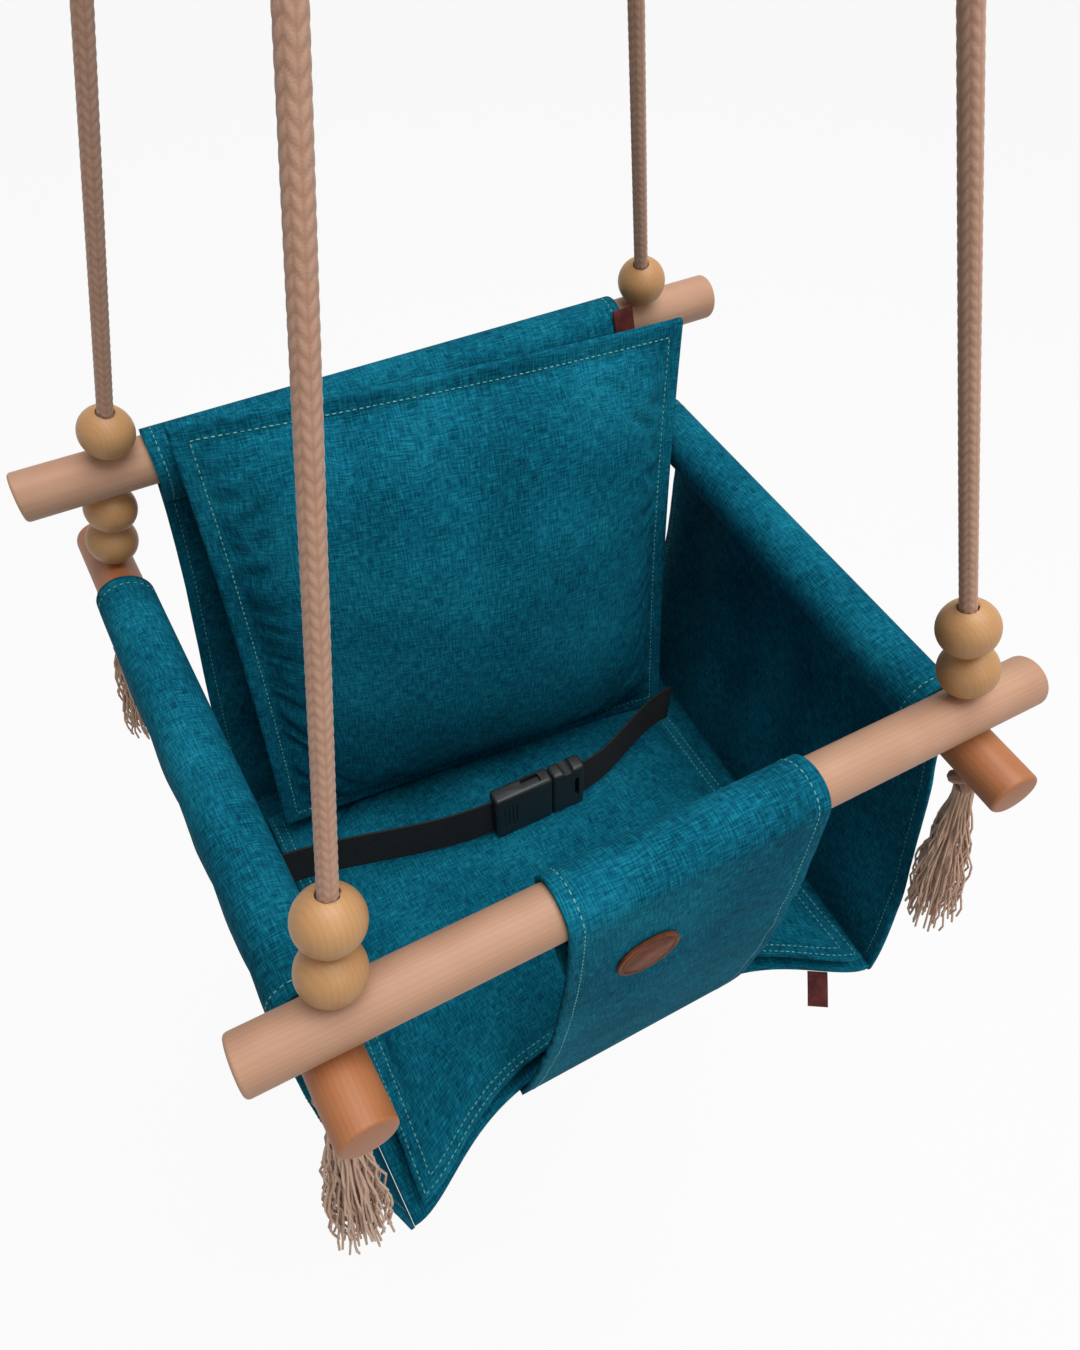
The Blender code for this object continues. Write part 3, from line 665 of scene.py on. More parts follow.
PALE_WOOD = wood("pale_dowel", "#B5886D", "#BE9276", "#C69C81", 0.55)
WARM_WOOD = wood("warm_dowel", "#A3633A", "#AD6D42", "#B5784E", 0.5)
BEAD_WOOD = wood("ochre_turning", "#B98755", "#C1905E", "#C99A69", 0.45)
print("finishes", PALE_WOOD.name, WARM_WOOD.name, "and", BEAD_WOOD.name)

# %% Sanded rods
ROD_EDGE = 0.0022
HOLE_CLEARANCE = 0.0006
HOLE_R = ROPE_D / 2 + HOLE_CLEARANCE
DRILL_LENGTH = 0.4


def rope_cutter(corner):
    """A drill along a rope, long enough for the side rod and the cross rod above it."""
    deselect()
    bpy.ops.mesh.primitive_cylinder_add(vertices=32, radius=HOLE_R, depth=DRILL_LENGTH)
    cutter = bpy.context.object
    cutter.matrix_world = Matrix.Translation(FEET[corner]) @ turn_to(WAYS[corner])
    return cutter


def make_rod(node, along, length, corners, finish, shift):
    """A dowel with rounded ends and drilled corners. Shift is its spot in the wood that it is cut from."""
    deselect()
    bpy.ops.mesh.primitive_cylinder_add(vertices=72, radius=ROD_R, depth=length)
    rod = bpy.context.object
    rod.name = "sanded_" + node
    bpy.ops.object.mode_set(mode="EDIT")
    bm = bmesh.from_edit_mesh(rod.data)
    for edge in bm.edges:
        edge.select_set(abs(edge.verts[0].co.z - edge.verts[1].co.z) < GAP)
    bmesh.update_edit_mesh(rod.data)
    bpy.ops.mesh.bevel(offset=ROD_EDGE, segments=4, affect="EDGES")
    bpy.ops.object.mode_set(mode="OBJECT")
    place = Matrix.Translation(middle_of(node)) @ turn_to(along)
    rod.matrix_world = place
    settle(rod)
    cutters = [rope_cutter(corner) for corner in corners]
    for cutter in cutters:
        hole = rod.modifiers.new("hole", "BOOLEAN")
        hole.object = cutter
    apply_all(rod)
    for cutter in cutters:
        bpy.data.objects.remove(cutter)
    select_only(rod)
    bpy.ops.object.shade_smooth_by_angle(angle=math.radians(35))
    keep_grain(rod, place, shift)
    give(rod, finish)
    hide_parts(node)
    print(rod.name, round(length, 3), "m long")


CROSS_ROD_LENGTHS = {"front": 0.428, "back": 0.450}
SIDE_ROD_LENGTH = 0.430
PITH_OFF = 0.014
CROSS_ROD_SPOT = 0.3
SIDE_ROD_SPOT = 0.5
for name, sign in (("front", 1), ("back", -1)):
    corners = [name + "_left", name + "_right"]
    along, length = Vector((1, 0, 0)), CROSS_ROD_LENGTHS[name]
    shift = sign * Vector((PITH_OFF, PITH_OFF / 2, CROSS_ROD_SPOT))
    make_rod(name + "_rod", along, length, corners, PALE_WOOD, shift)
for side, sign in (("left", 1), ("right", -1)):
    corners = ["front_" + side, "back_" + side]
    along = (FEET[corners[1]] - FEET[corners[0]]).normalized()
    shift = sign * Vector((-PITH_OFF / 2, PITH_OFF, SIDE_ROD_SPOT))
    make_rod(side + "_side_rod", along, SIDE_ROD_LENGTH, corners, WARM_WOOD, shift)

# %% [markdown]
# ## Ten beads to one pattern
# All beads are turned alike and bored for the rope. A ball with a painted hole would look wrong where a
# rope enters it, so one ball is bored by a drill and the rim of its hole is broken by a bevel. The beads
# are copies with meshes of their own, each cut from another spot of the wood.

# %% Bead pattern
BEAD_EDGE = 0.0007
deselect()
bpy.ops.mesh.primitive_uv_sphere_add(segments=56, ring_count=36, radius=BEAD_R)
bead_pattern = bpy.context.object
deselect()
bpy.ops.mesh.primitive_cylinder_add(vertices=56, radius=BEAD_HOLE_R, depth=4 * BEAD_R)
drill = bpy.context.object
bore = bead_pattern.modifiers.new("bore", "BOOLEAN")
bore.object = drill
apply_all(bead_pattern)
bpy.data.objects.remove(drill)
bpy.ops.object.mode_set(mode="EDIT")
bm = bmesh.from_edit_mesh(bead_pattern.data)
for edge in bm.edges:
    on_hole = all(abs(math.hypot(v.co.x, v.co.y) - BEAD_HOLE_R) < GAP / 3 for v in edge.verts)
    edge.select_set(on_hole and abs(edge.verts[0].co.z - edge.verts[1].co.z) < GAP)
bmesh.update_edit_mesh(bead_pattern.data)
bpy.ops.mesh.bevel(offset=BEAD_EDGE, segments=3, affect="EDGES")
bpy.ops.object.mode_set(mode="OBJECT")
bpy.ops.object.shade_smooth_by_angle(angle=math.radians(40))
print("a bead of", triangles(bead_pattern), "triangles")

# %% Turned beads
# Where the first bead lies in the wood, and how far it is to the next one.
BEAD_SPOT = Vector((0.02, 0.03, 0))
BEAD_SPACING = Vector((0.01, 0, 0.2))
bead_nodes = [name for name in bpy.data.objects.keys() if name.startswith("bead_")]
for number, node in enumerate(bead_nodes):
    corner = "_".join(node.split("_")[1:3])
    bead = bpy.data.objects.new("turned_" + node, bead_pattern.data.copy())
    bpy.context.scene.collection.objects.link(bead)
    place = Matrix.Translation(middle_of(node)) @ turn_to(WAYS[corner])
    bead.data.transform(place)
    keep_grain(bead, place, BEAD_SPOT + number * BEAD_SPACING)
    give(bead, BEAD_WOOD, node)
    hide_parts(node)
bpy.data.objects.remove(bead_pattern)
print(len(bead_nodes), "beads")

# %% [markdown]
# ## Linen-look cloth
# The bucket is sewn from a flecked upholstery cloth: a plain weave whose uneven yarns leave short dark
# and light streaks both ways. The weave follows each piece's UV map, which is in metres. The real
# threads are about half a millimetre wide, which is too fine to show, so they are drawn a little wider.

# %% Teal cloth finish
THREAD_MM = 0.9
SLUB_MM = 9
SHADE_MM = 70
WEAVE_BUMP = 0.0007


def woven(name, dark, mid, light):
    """Dry, matt cloth: short dark and light streaks both ways, and next to no gloss."""
    finish, shader = new_material(name)
    spot = add(finish, "ShaderNodeTexCoord")
    streaks = []
    for long_way in (0, 1):
        scale = [1000 / THREAD_MM, 1000 / THREAD_MM, 1]
        scale[long_way] = 1000 / SLUB_MM
        along = add(finish, "ShaderNodeMapping", {"Vector": spot.outputs["UV"], "Scale": scale})
        streak = add(
            finish,
            "ShaderNodeTexNoise",
            {"Vector": along.outputs["Vector"], "Scale": 1, "Detail": 3, "Roughness": 0.6},
            noise_dimensions="2D",
        )
        streaks.append(streak.outputs["Fac"])
    cross = add(finish, "ShaderNodeMix", {"Factor": 0.5, "A": streaks[0], "B": streaks[1]})
    shade = add(
        finish,
        "ShaderNodeTexNoise",
        {"Vector": spot.outputs["UV"], "Scale": 1000 / SHADE_MM, "Detail": 3},
        noise_dimensions="2D",
    )
    both = add(
        finish,
        "ShaderNodeMix",
        {"Factor": 0.2, "A": cross.outputs["Result"], "B": shade.outputs["Fac"]},
    )
    tint = add(
        finish,
        "ShaderNodeValToRGB",
        {"Fac": both.outputs["Result"]},
        stops=((0.37, dark), (0.5, mid), (0.63, light)),
    )
    bump = add(
        finish,
        "ShaderNodeBump",
        {"Height": cross.outputs["Result"], "Strength": 0.6, "Distance": WEAVE_BUMP},
    )
    plug(finish, shader, {"Base Color": tint.outputs["Color"], "Normal": bump.outputs["Normal"]})
    plug(finish, shader, {"Roughness": 0.9, "Specular IOR Level": 0.06})
    return finish


TEAL_CLOTH = woven("teal_linen_look_cloth", "#043D4F", "#08627B", "#1C879E")
print("finish", TEAL_CLOTH.name)

# %% [markdown]
# ## Sewn panels
# Each hanging panel is one sheet that starts at a hem, wraps its rod as a sleeve and falls to the seat,
# which is a sheet of its own. A function gives the place of each point of a sheet, and soft folds and
# small puckers are part of it. The sheet gets its thickness at the end, so that hems and edges show as
# cloth edges do.

# %% Sleeves and folds
SEAT_DROP = 0.248
SEAT_SAG = 0.006
SEAT_FRONT = 0.192
SEAT_REAR = 0.150
SEAT_NOTCH = 0.046
SEAT_Z = SIDE_Z - SEAT_DROP
HEM_DROP = 0.005
SEAM_DROP = 0.040
SEAM_ANGLE = math.radians(215)
HEM_SHARE = 0.3
SLEEVE_SHARE = 0.28
FOLD_HEIGHT = 0.0022
FOLD_COUNT = 5
# How fast the puckers' height falls from size to size, the step between sizes, and how many there are.
PUCKER_NOISE = (1.0, 2.0, 3)


def sleeve_and_panel(share, panel):
    """A way round a rod and down: (outward, up) from the rod's axis. panel takes 0 to 1 below it."""
    if share >= SLEEVE_SHARE:
        return panel((share - SLEEVE_SHARE) / (1 - SLEEVE_SHARE))
    on_rod = share / SLEEVE_SHARE
    if on_rod >= HEM_SHARE:
        angle = SEAM_ANGLE * (1 - (on_rod - HEM_SHARE) / (1 - HEM_SHARE))
        return SLEEVE_R * math.cos(angle), SLEEVE_R * math.sin(angle)
    hem = Vector((SLEEVE_R - CLOTH - 2 * GAP, -SEAM_DROP))
    top = SLEEVE_R * Vector((math.cos(SEAM_ANGLE), math.sin(SEAM_ANGLE)))
    below = top - SLEEVE_R * Vector((math.sin(SEAM_ANGLE), -math.cos(SEAM_ANGLE)))
    part = on_rod / HEM_SHARE
    return hem * (1 - part) ** 2 + below * 2 * part * (1 - part) + top * part**2


def folds(across, down):
    """Soft upright folds that die out at the seams."""
    return FOLD_HEIGHT * math.sin(2 * math.pi * FOLD_COUNT * across) * math.sin(math.pi * down)


def pucker(x, y, size, height):
    """Uneven small hollows and swells, each about a size across."""
    return height * noise.fractal(Vector((x / size, y / size, size)), *PUCKER_NOISE)


print("the seat hangs", round(SEAT_DROP, 3), "m under the side rods")


def cloth_piece(name, place, columns, rows, thickness=CLOTH):
    """A sheet through place(u, v), with a UV map in metres."""
    lines = [[place(u / columns, v / rows) for u in range(columns + 1)] for v in range(rows + 1)]
    points = np.array([[tuple(point) for point in line] for line in lines])
    across = np.linalg.norm(np.diff(points, axis=1), axis=2).sum(axis=1).max()
    steps = np.linalg.norm(np.diff(points[:, columns // 2], axis=0), axis=1)
    down = np.concatenate([[0], np.cumsum(steps)])
    made = piece_of(name, points.reshape(-1, 3), grid_faces(rows + 1, columns + 1))
    widths = np.linspace(0, across, columns + 1)
    flat = np.stack([np.tile(widths, rows + 1), np.repeat(down, columns + 1)], 1)
    corners = np.empty(len(made.data.loops), np.int32)
    made.data.loops.foreach_get("vertex_index", corners)
    layer = made.data.uv_layers.new(name="weave")
    layer.data.foreach_set("uv", flat[corners].ravel())
    made.data.shade_smooth()
    shell = made.modifiers.new("thickness", "SOLIDIFY")
    shell.thickness = thickness
    shell.offset = 0
    shell.use_even_offset = True
    apply_all(made)
    select_only(made)
    bpy.ops.object.mode_set(mode="EDIT")
    bpy.ops.mesh.select_all(action="SELECT")
    bpy.ops.mesh.normals_make_consistent(inside=False)
    bpy.ops.object.mode_set(mode="OBJECT")
    return made, (float(across), float(down[-1]))


def hang_cloth(piece, flat, node):
    give(piece, TEAL_CLOTH)
    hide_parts(node)
    print(piece.name, "cut", round(flat[0], 3), "by", round(flat[1], 3), "m")


# %% Back panel
BACK_SLEEVE_WIDTH = 0.3038
BACK_FOOT_WIDTH = 0.366
BACK_DROP = BACK_ROD.z - SEAT_Z + HEM_DROP
BACK_FOOT = SEAT_REAR + CLOTH + GAP - BACK_ROD.y
BACK_PUCKER = (0.05, 0.0016)


def back_place(u, v):
    def panel(down):
        out = SLEEVE_R + (BACK_FOOT - SLEEVE_R) * ease(down) + folds(u, down)
        out += pucker(u * BACK_FOOT_WIDTH, down * BACK_DROP, *BACK_PUCKER) * math.sin(math.pi * down)
        return out, -BACK_DROP * down

    out, up = sleeve_and_panel(v, panel)
    down = max(0, -up / BACK_DROP)
    width = BACK_SLEEVE_WIDTH + (BACK_FOOT_WIDTH - BACK_SLEEVE_WIDTH) * ease(down)
    return Vector(((u - 0.5) * width, BACK_ROD.y + out, BACK_ROD.z + up))


back_panel, flat = cloth_piece("sewn_back_panel", back_place, columns=110, rows=150)
hang_cloth(back_panel, (BACK_FOOT_WIDTH, flat[1]), "back_panel")

# %% Side panels
SIDE_SLEEVE = 0.150
SIDE_BULGE = 0.007
SIDE_DROP = SEAT_DROP + HEM_DROP
SIDE_PUCKER = (0.06, 0.0022)
SIDE_PUCKER_SPREAD = 0.34


def side_x(y):
    """How far a side rod's axis lies from the middle."""
    return (FRONT_SPACING + (BACK_SPACING - FRONT_SPACING) * (y / DEPTH_SPACING + 0.5)) / 2


def side_place(sign):
    def place(u, v):
        def panel(down):
            out = SLEEVE_R * (1 - ease(down)) + SIDE_BULGE * math.sin(math.pi * down)
            ripple = pucker(sign + u * SIDE_PUCKER_SPREAD, down * SIDE_DROP, *SIDE_PUCKER)
            out += ripple * math.sin(math.pi * down)
            return out + folds(u, down), -SIDE_DROP * down

        out, up = sleeve_and_panel(v, panel)
        down = max(0, -up / SIDE_DROP)
        front = SIDE_SLEEVE + (SEAT_FRONT - SIDE_SLEEVE) * ease(down)
        y = -front + (front + SIDE_SLEEVE) * u
        return Vector((sign * (side_x(y) + out), y, SIDE_Z + up))

    return place


for side, sign in (("left", -1), ("right", 1)):
    panel, flat = cloth_piece("sewn_" + side + "_panel", side_place(sign), columns=110, rows=130)
    hang_cloth(panel, flat, side + "_side_panel")

# %% Seat panel


def notch(across):
    """How far the strap draws the seat's front edge back, at -1 to 1 across."""
    return SEAT_NOTCH * (1 - across**4) ** 2


def seat_half(y):
    return side_x(y) - CLOTH / 2 - GAP


def seat_place(u, v):
    across = 2 * u - 1
    front = SEAT_FRONT - notch(across)
    y = -front + (front + SEAT_REAR) * v
    sag = SEAT_SAG * math.cos(math.pi / 2 * across) * math.sin(math.pi * v)
    return Vector((across * seat_half(y), y, SEAT_Z - sag))


seat_panel, flat = cloth_piece("sewn_seat_panel", seat_place, columns=90, rows=80)
hang_cloth(seat_panel, flat, "seat_panel")

# %% Crotch strap
STRAP_WIDTH = 0.140
STRAP_FOOT_WIDTH = 0.164
STRAP_CLEARANCE = 0.003
STRAP_UNDER = 0.045
STRAP_FALL = 0.8
STRAP_PUCKER = (0.045, 0.0012)
STRAP_DROP = FRONT_ROD.z - SEAT_Z + CLOTH + GAP + SEAT_SAG
STRAP_FOOT = FRONT_ROD.y + SEAT_FRONT - SEAT_NOTCH + CLOTH / 2 + STRAP_CLEARANCE


def strap_way(down):
    """The strap below its sleeve, from 0 at the rod to 1 under the seat: (outward, up) from the rod."""
    fall = min(1, down / STRAP_FALL)
    tuck = max(0, (down - STRAP_FALL) / (1 - STRAP_FALL))
    out = SLEEVE_R + (STRAP_FOOT - SLEEVE_R) * ease(fall) - STRAP_UNDER * tuck
    return out, -STRAP_DROP * math.sin(math.pi / 2 * fall)


def strap_place(u, v):
    out, up = sleeve_and_panel(v, strap_way)
    down = min(1, max(0, -up / STRAP_DROP))
    width = STRAP_WIDTH + (STRAP_FOOT_WIDTH - STRAP_WIDTH) * ease(down)
    out += pucker(u * width, down * STRAP_DROP, *STRAP_PUCKER) * math.sin(math.pi * down)
    return Vector(((0.5 - u) * width, FRONT_ROD.y - out, FRONT_ROD.z + up))


strap, flat = cloth_piece("sewn_crotch_strap", strap_place, columns=60, rows=160)
hang_cloth(strap, flat, "crotch_strap")

# %% [markdown]
# ## Two filled cushions
# The back pillow and the seat cushion are two cloths sewn together inside a flat border, then filled.
# The border is held still and a cloth simulation lets the filling press the two faces apart: the cloth is
# a little larger than its outline, so it wrinkles towards the seams as real pillows do. The faces keep to
# the space that the solids hold, so the pillow still rests on its sleeve and seat. Only the pillow's front
# swells further, because its filling has sunk.

# %% Cushion shapes
CUSHION_FLANGE = 0.005
FLANGE_WIDTH = 0.016
CUSHION_DRAW = 0.022
CUSHION_CELLS = 72
CROWN_REACH = 2.4
CROWN_ROUND = 0.55
SLACK = 0.82


def swell(place, reach):
    """The share of a cushion's crown at -1 to 1 across it, nothing on the flange."""
    share = abs(place) / (1 - FLANGE_WIDTH / reach)
    return max(0, 1 - share**CROWN_REACH) ** CROWN_ROUND


def cushion_point(x, y, side, half, crown, draw_front):
    height = CUSHION_FLANGE / 2 + crown * swell(x, half.x) * swell(y, half.y)
    drawn_x = 1 - CUSHION_DRAW * (1 - y**2)
    drawn_y = 1 - CUSHION_DRAW * (1 - x**2)
    front = draw_front(x) * max(0, -y) if draw_front else 0
    return Vector((x * half.x * drawn_x, y * half.y * drawn_y + front, side * height))


def cushion_mesh(name, half, crown, draw_front):
    """A closed cushion lying flat, its two faces joined round the border, with a UV map in metres."""
    bpy.ops.mesh.primitive_grid_add(x_subdivisions=CUSHION_CELLS, y_subdivisions=CUSHION_CELLS, size=2)
    made = bpy.context.object
    made.name = name
    spots = np.array([vert.co[:2] for vert in made.data.vertices])
    corners = np.empty(len(made.data.loops), np.int32)
    made.data.loops.foreach_get("vertex_index", corners)
    flat = spots * (half.x, half.y)
    made.data.uv_layers[0].name = "weave"
    made.data.uv_layers[0].data.foreach_set("uv", flat[corners].ravel().astype(np.float32))
    bpy.ops.object.mode_set(mode="EDIT")
    bpy.ops.mesh.select_all(action="SELECT")
    bpy.ops.mesh.solidify(thickness=CUSHION_FLANGE)
    bpy.ops.object.mode_set(mode="OBJECT")
    middle = sum(vert.co.z for vert in made.data.vertices) / len(made.data.vertices)
    places = [(vert.co.x, vert.co.y, 1 if vert.co.z > middle else -1) for vert in made.data.vertices]
    for vert, (x, y, side) in zip(made.data.vertices, places):
        vert.co = cushion_point(x, y, side, half, crown * SLACK, draw_front)
    made.data.shade_smooth()
    return made, places


print("cushion faces of", CUSHION_CELLS, "by", CUSHION_CELLS, "cells")

# %% Filling
FILL_FRAMES = 20
MOST_MOVE = 0.016
BELLY = 0.007
BELLY_DROP = 0.6
BELLY_ROUND = 1.5


def fill(made, places, half, crown, draw_front, proud):
    """Fills the cushion: pressure inside, the border held, and each face kept within its limit."""
    start = np.array([vert.co[:] for vert in made.data.vertices])
    crowns = [swell(x, half.x) * swell(y, half.y) for x, y, side in places]
    border = [index for index, share in enumerate(crowns) if share == 0]
    held = made.vertex_groups.new(name="border")
    held.add(border, 1, "ADD")
    cloth = made.modifiers.new("filling", "CLOTH").settings
    cloth.quality = 5
    cloth.mass = 0.25
    cloth.tension_stiffness = 12
    cloth.compression_stiffness = 6
    cloth.bending_stiffness = 0.25
    cloth.use_pressure = True
    cloth.uniform_pressure_force = 10
    cloth.shrink_min = -0.09
    cloth.effector_weights.gravity = 0
    cloth.vertex_group_mass = "border"
    for step in range(1, FILL_FRAMES + 1):
        bpy.context.scene.frame_set(step)
    graph = bpy.context.evaluated_depsgraph_get()
    filled = made.evaluated_get(graph).to_mesh()
    end = np.array([vert.co[:] for vert in filled.vertices])
    made.evaluated_get(graph).to_mesh_clear()
    made.modifiers.clear()
    made.vertex_groups.clear()
    bpy.context.scene.frame_set(1)
    move = end - start
    far = np.linalg.norm(move, axis=1)[:, None]
    end = start + move * (MOST_MOVE / np.maximum(far, MOST_MOVE))
    for vert, place, (x, y, side), share in zip(made.data.vertices, end, places, crowns):
        limit = cushion_point(x, y, 1, half, crown, draw_front).z
        most = limit + (proud * share if side > 0 else 0)
        vert.co = (place[0], place[1], side * min(most, side * place[2]))
    print(made.name, "moved up to", round(float(far.max()) * 1000, 1), "mm before its limit")


def sink_filling(made, places, half):
    """Lets the filling sink, so that the front swells most in its lower half."""
    for vert, (x, y, side) in zip(made.data.vertices, places):
        if side > 0:
            share = (swell(x, half.x) * swell(y, half.y)) ** BELLY_ROUND
            vert.co.z += BELLY * share * (1 - BELLY_DROP * y)


def finish_cushion(made, place, node):
    rounder = made.modifiers.new("rounder", "SUBSURF")
    rounder.levels = 1
    rounder.render_levels = 1
    apply_all(made)
    made.data.transform(place)
    made.data.shade_smooth()
    give(made, TEAL_CLOTH)
    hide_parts(node)
    print(made.name, triangles(made), "triangles")


# %% Seat cushion
SEAT_CUSHION = Vector((0.336, 0.310)) / 2
SEAT_CROWN = 0.019
SEAT_CUSHION_Z = -1.10346
SEAT_CUSHION_Y = SEAT_CUSHION.y - SEAT_FRONT + CLOTH
SEAT_CUSHION_PLACE = Matrix.Translation((0, SEAT_CUSHION_Y, SEAT_CUSHION_Z))
deselect()
seat_cushion, places = cushion_mesh("filled_seat_cushion", SEAT_CUSHION, SEAT_CROWN, notch)
fill(seat_cushion, places, SEAT_CUSHION, SEAT_CROWN, notch, 0)
finish_cushion(seat_cushion, SEAT_CUSHION_PLACE, "seat_cushion")

# %% Back pillow
BACK_CUSHION = Vector((0.320, 0.328)) / 2
BACK_CROWN = 0.030
BACK_PROUD = 0.006
BACK_LEAN = 82
BACK_ROLL = 2.3
BACK_YAW = -4
angles = [math.radians(angle) for angle in (BACK_LEAN, BACK_ROLL, BACK_YAW)]
PILLOW_PLACE = Matrix.Translation(middle_of("back_cushion")) @ Euler(angles).to_matrix().to_4x4()
deselect()
pillow, places = cushion_mesh("filled_back_pillow", BACK_CUSHION, BACK_CROWN, None)
fill(pillow, places, BACK_CUSHION, BACK_CROWN, None, BACK_PROUD)
sink_filling(pillow, places, BACK_CUSHION)
finish_cushion(pillow, PILLOW_PLACE, "back_cushion")

# %% [markdown]
# ## Topstitching
# Pale thread shows along the sleeve ends, hems and cushion borders. A dashed line in the finish would lie
# flat in the cloth. So each stitch is one small lozenge of thread, a few faces only, laid along a line of
# places on the cloth with the direction it faces.

# %% Thread finish
# Twisted polyester: a satin thread, with a painted highlight that lights one stitch and not the next.
THREAD_GLINT_MM = 3.333
THREAD, shader = new_material("pale_thread")
spot = add(THREAD, "ShaderNodeTexCoord")
fleck_and_glint = add(
    THREAD,
    "ShaderNodeTexNoise",
    {"Vector": spot.outputs["Object"], "Scale": 1000 / THREAD_GLINT_MM, "Detail": 2},
)
# Painted highlight: the ramp makes some stitches paler than others, as if they caught the light.
tint = add(
    THREAD,
    "ShaderNodeValToRGB",
    {"Fac": fleck_and_glint.outputs["Fac"]},
    stops=((0.3, "#4E9A93"), (0.7, "#8CC4B6")),
)
plug(THREAD, shader, {"Base Color": tint.outputs["Color"], "Roughness": 0.7})
print("finish", THREAD.name)

# %% Stitches
STITCH_LENGTH = 0.0026
STITCH_PITCH = 0.0040
STITCH_WIDTH = 0.00036
STITCH_SIDES = 6
STITCH_SHOULDER = 0.3
STITCH_SINK = 0.3


def stitch_shape():
    """A lozenge along X, one unit long and two units across, as (points, faces)."""
    points = [(-0.5, 0, 0)]
    for x in (-STITCH_SHOULDER, STITCH_SHOULDER):
        for side in range(STITCH_SIDES):
            turn = 2 * math.pi * side / STITCH_SIDES
            points.append((x, math.cos(turn), math.sin(turn)))
    points.append((0.5, 0, 0))
    faces = []
    for side in range(STITCH_SIDES):
        here, there = 1 + side, 1 + (side + 1) % STITCH_SIDES
        faces.append((0, there, here))
        faces.append((here, there, there + STITCH_SIDES))
        faces.append((here, there + STITCH_SIDES, here + STITCH_SIDES))
        faces.append((here + STITCH_SIDES, there + STITCH_SIDES, 2 * STITCH_SIDES + 1))
    return np.array(points), np.array(faces)


def stitches(name, lines):
    """Stitches along lines of (place, facing) points."""
    shape, shape_faces = stitch_shape()
    points, faces = [], []
    for line in lines:
        route = np.array([tuple(place) for place, facing in line])
        facings = np.array([tuple(facing) for place, facing in line])
        lengths = np.concatenate([[0], np.cumsum(np.linalg.norm(np.diff(route, axis=0), axis=1))])
        for middle in np.arange(STITCH_PITCH / 2, lengths[-1], STITCH_PITCH):
            ends = [
                [np.interp(middle + reach, lengths, route[:, axis]) for axis in range(3)]
                for reach in (-STITCH_LENGTH / 2, STITCH_LENGTH / 2)
            ]
            along = np.array(ends[1]) - np.array(ends[0])
            length = np.linalg.norm(along)
            if length < STITCH_LENGTH / 2:
                continue
            along /= length
            facing = np.array([np.interp(middle, lengths, facings[:, axis]) for axis in range(3)])
            across = np.cross(facing, along)
            across /= np.linalg.norm(across)
            up = np.cross(along, across)
            sized = shape * (STITCH_LENGTH, STITCH_WIDTH, STITCH_WIDTH)
            centre = (np.array(ends[0]) + np.array(ends[1])) / 2
            faces.append(shape_faces + len(shape) * len(points))
            points.append(centre + sized @ np.stack([along, across, up]))
    made = piece_of(name, np.concatenate(points), np.concatenate(faces))
    made.data.shade_smooth()
    give(made, THREAD)
    print(name, len(points), "stitches")


def facing_at(place, u, v, small=0.004):
    """Which way a sheet faces at (u, v)."""
    across = place(min(1, u + small), v) - place(max(0, u - small), v)
    down = place(u, min(1, v + small)) - place(u, max(0, v - small))
    return across.cross(down).normalized()


def cloth_line(place, spots, sign):
    """A line of stitches on a sheet, through (u, v) spots, on the side that sign picks."""
    line = []
    for u, v in spots:
        facing = facing_at(place, u, v) * sign
        line.append((place(u, v) + facing * (CLOTH / 2 - STITCH_WIDTH * STITCH_SINK), facing))
    return line


# %% Stitch lines on the panels
EDGE = 0.007
HEM_V = 0.012
HEM_ENDS = (0.02, 0.98)
PANEL_SEAM = 0.97
STRAP_SEAM = 0.84


def down_spots(u, last, count=160):
    return [(u, HEM_V + (last - HEM_V) * step / count) for step in range(count + 1)]


def hem_spots(first, last, count=60):
    return [(first + (last - first) * step / count, HEM_V) for step in range(count + 1)]


def panel_lines(place, width):
    """Lines of stitches on both faces of a panel, down its two edges and along its hem."""
    lines = []
    for u in (EDGE / width, 1 - EDGE / width):
        for face in (1, -1):
            lines.append(cloth_line(place, down_spots(u, PANEL_SEAM), face))
    return lines + [cloth_line(place, hem_spots(*HEM_ENDS), face) for face in (1, -1)]


strap_edges = (EDGE / STRAP_WIDTH, 1 - EDGE / STRAP_WIDTH)
stitches("strap_stitches", [cloth_line(strap_place, down_spots(u, STRAP_SEAM), 1) for u in strap_edges])
stitches("back_stitches", panel_lines(back_place, BACK_FOOT_WIDTH))
for side, sign in (("left", -1), ("right", 1)):
    stitches(side + "_stitches", panel_lines(side_place(sign), 2 * SIDE_SLEEVE))

# %% Stitch lines on the cushions
BORDER_STEPS = 40
BORDER_RISE = 0.4
BORDER_INSET = 0.0105
OUTER_INSET = 0.004


def border_line(half, inset, side, place, draw_front):
    """A line round a cushion's border at an inset from its edge."""
    far_x, far_y = 1 - inset / half.x, 1 - inset / half.y
    turns = [(-far_x, -far_y), (far_x, -far_y), (far_x, far_y), (-far_x, far_y), (-far_x, -far_y)]
    line = []
    for (x0, y0), (x1, y1) in zip(turns, turns[1:]):
        for step in range(BORDER_STEPS):
            share = step / BORDER_STEPS
            x, y = x0 + (x1 - x0) * share, y0 + (y1 - y0) * share
            spot = cushion_point(x, y, side, half, 0, draw_front)
            spot.z += side * STITCH_WIDTH * BORDER_RISE
            line.append((place @ spot, place.to_3x3() @ Vector((0, 0, side))))
    return line + line[:1]


lines = []
for inset in (BORDER_INSET, OUTER_INSET):
    for side in (1, -1):
        lines.append(border_line(SEAT_CUSHION, inset, side, SEAT_CUSHION_PLACE, notch))
stitches("seat_cushion_stitches", lines)
lines = [border_line(BACK_CUSHION, BORDER_INSET, side, PILLOW_PLACE, None) for side in (1, -1)]
stitches("pillow_stitches", lines)

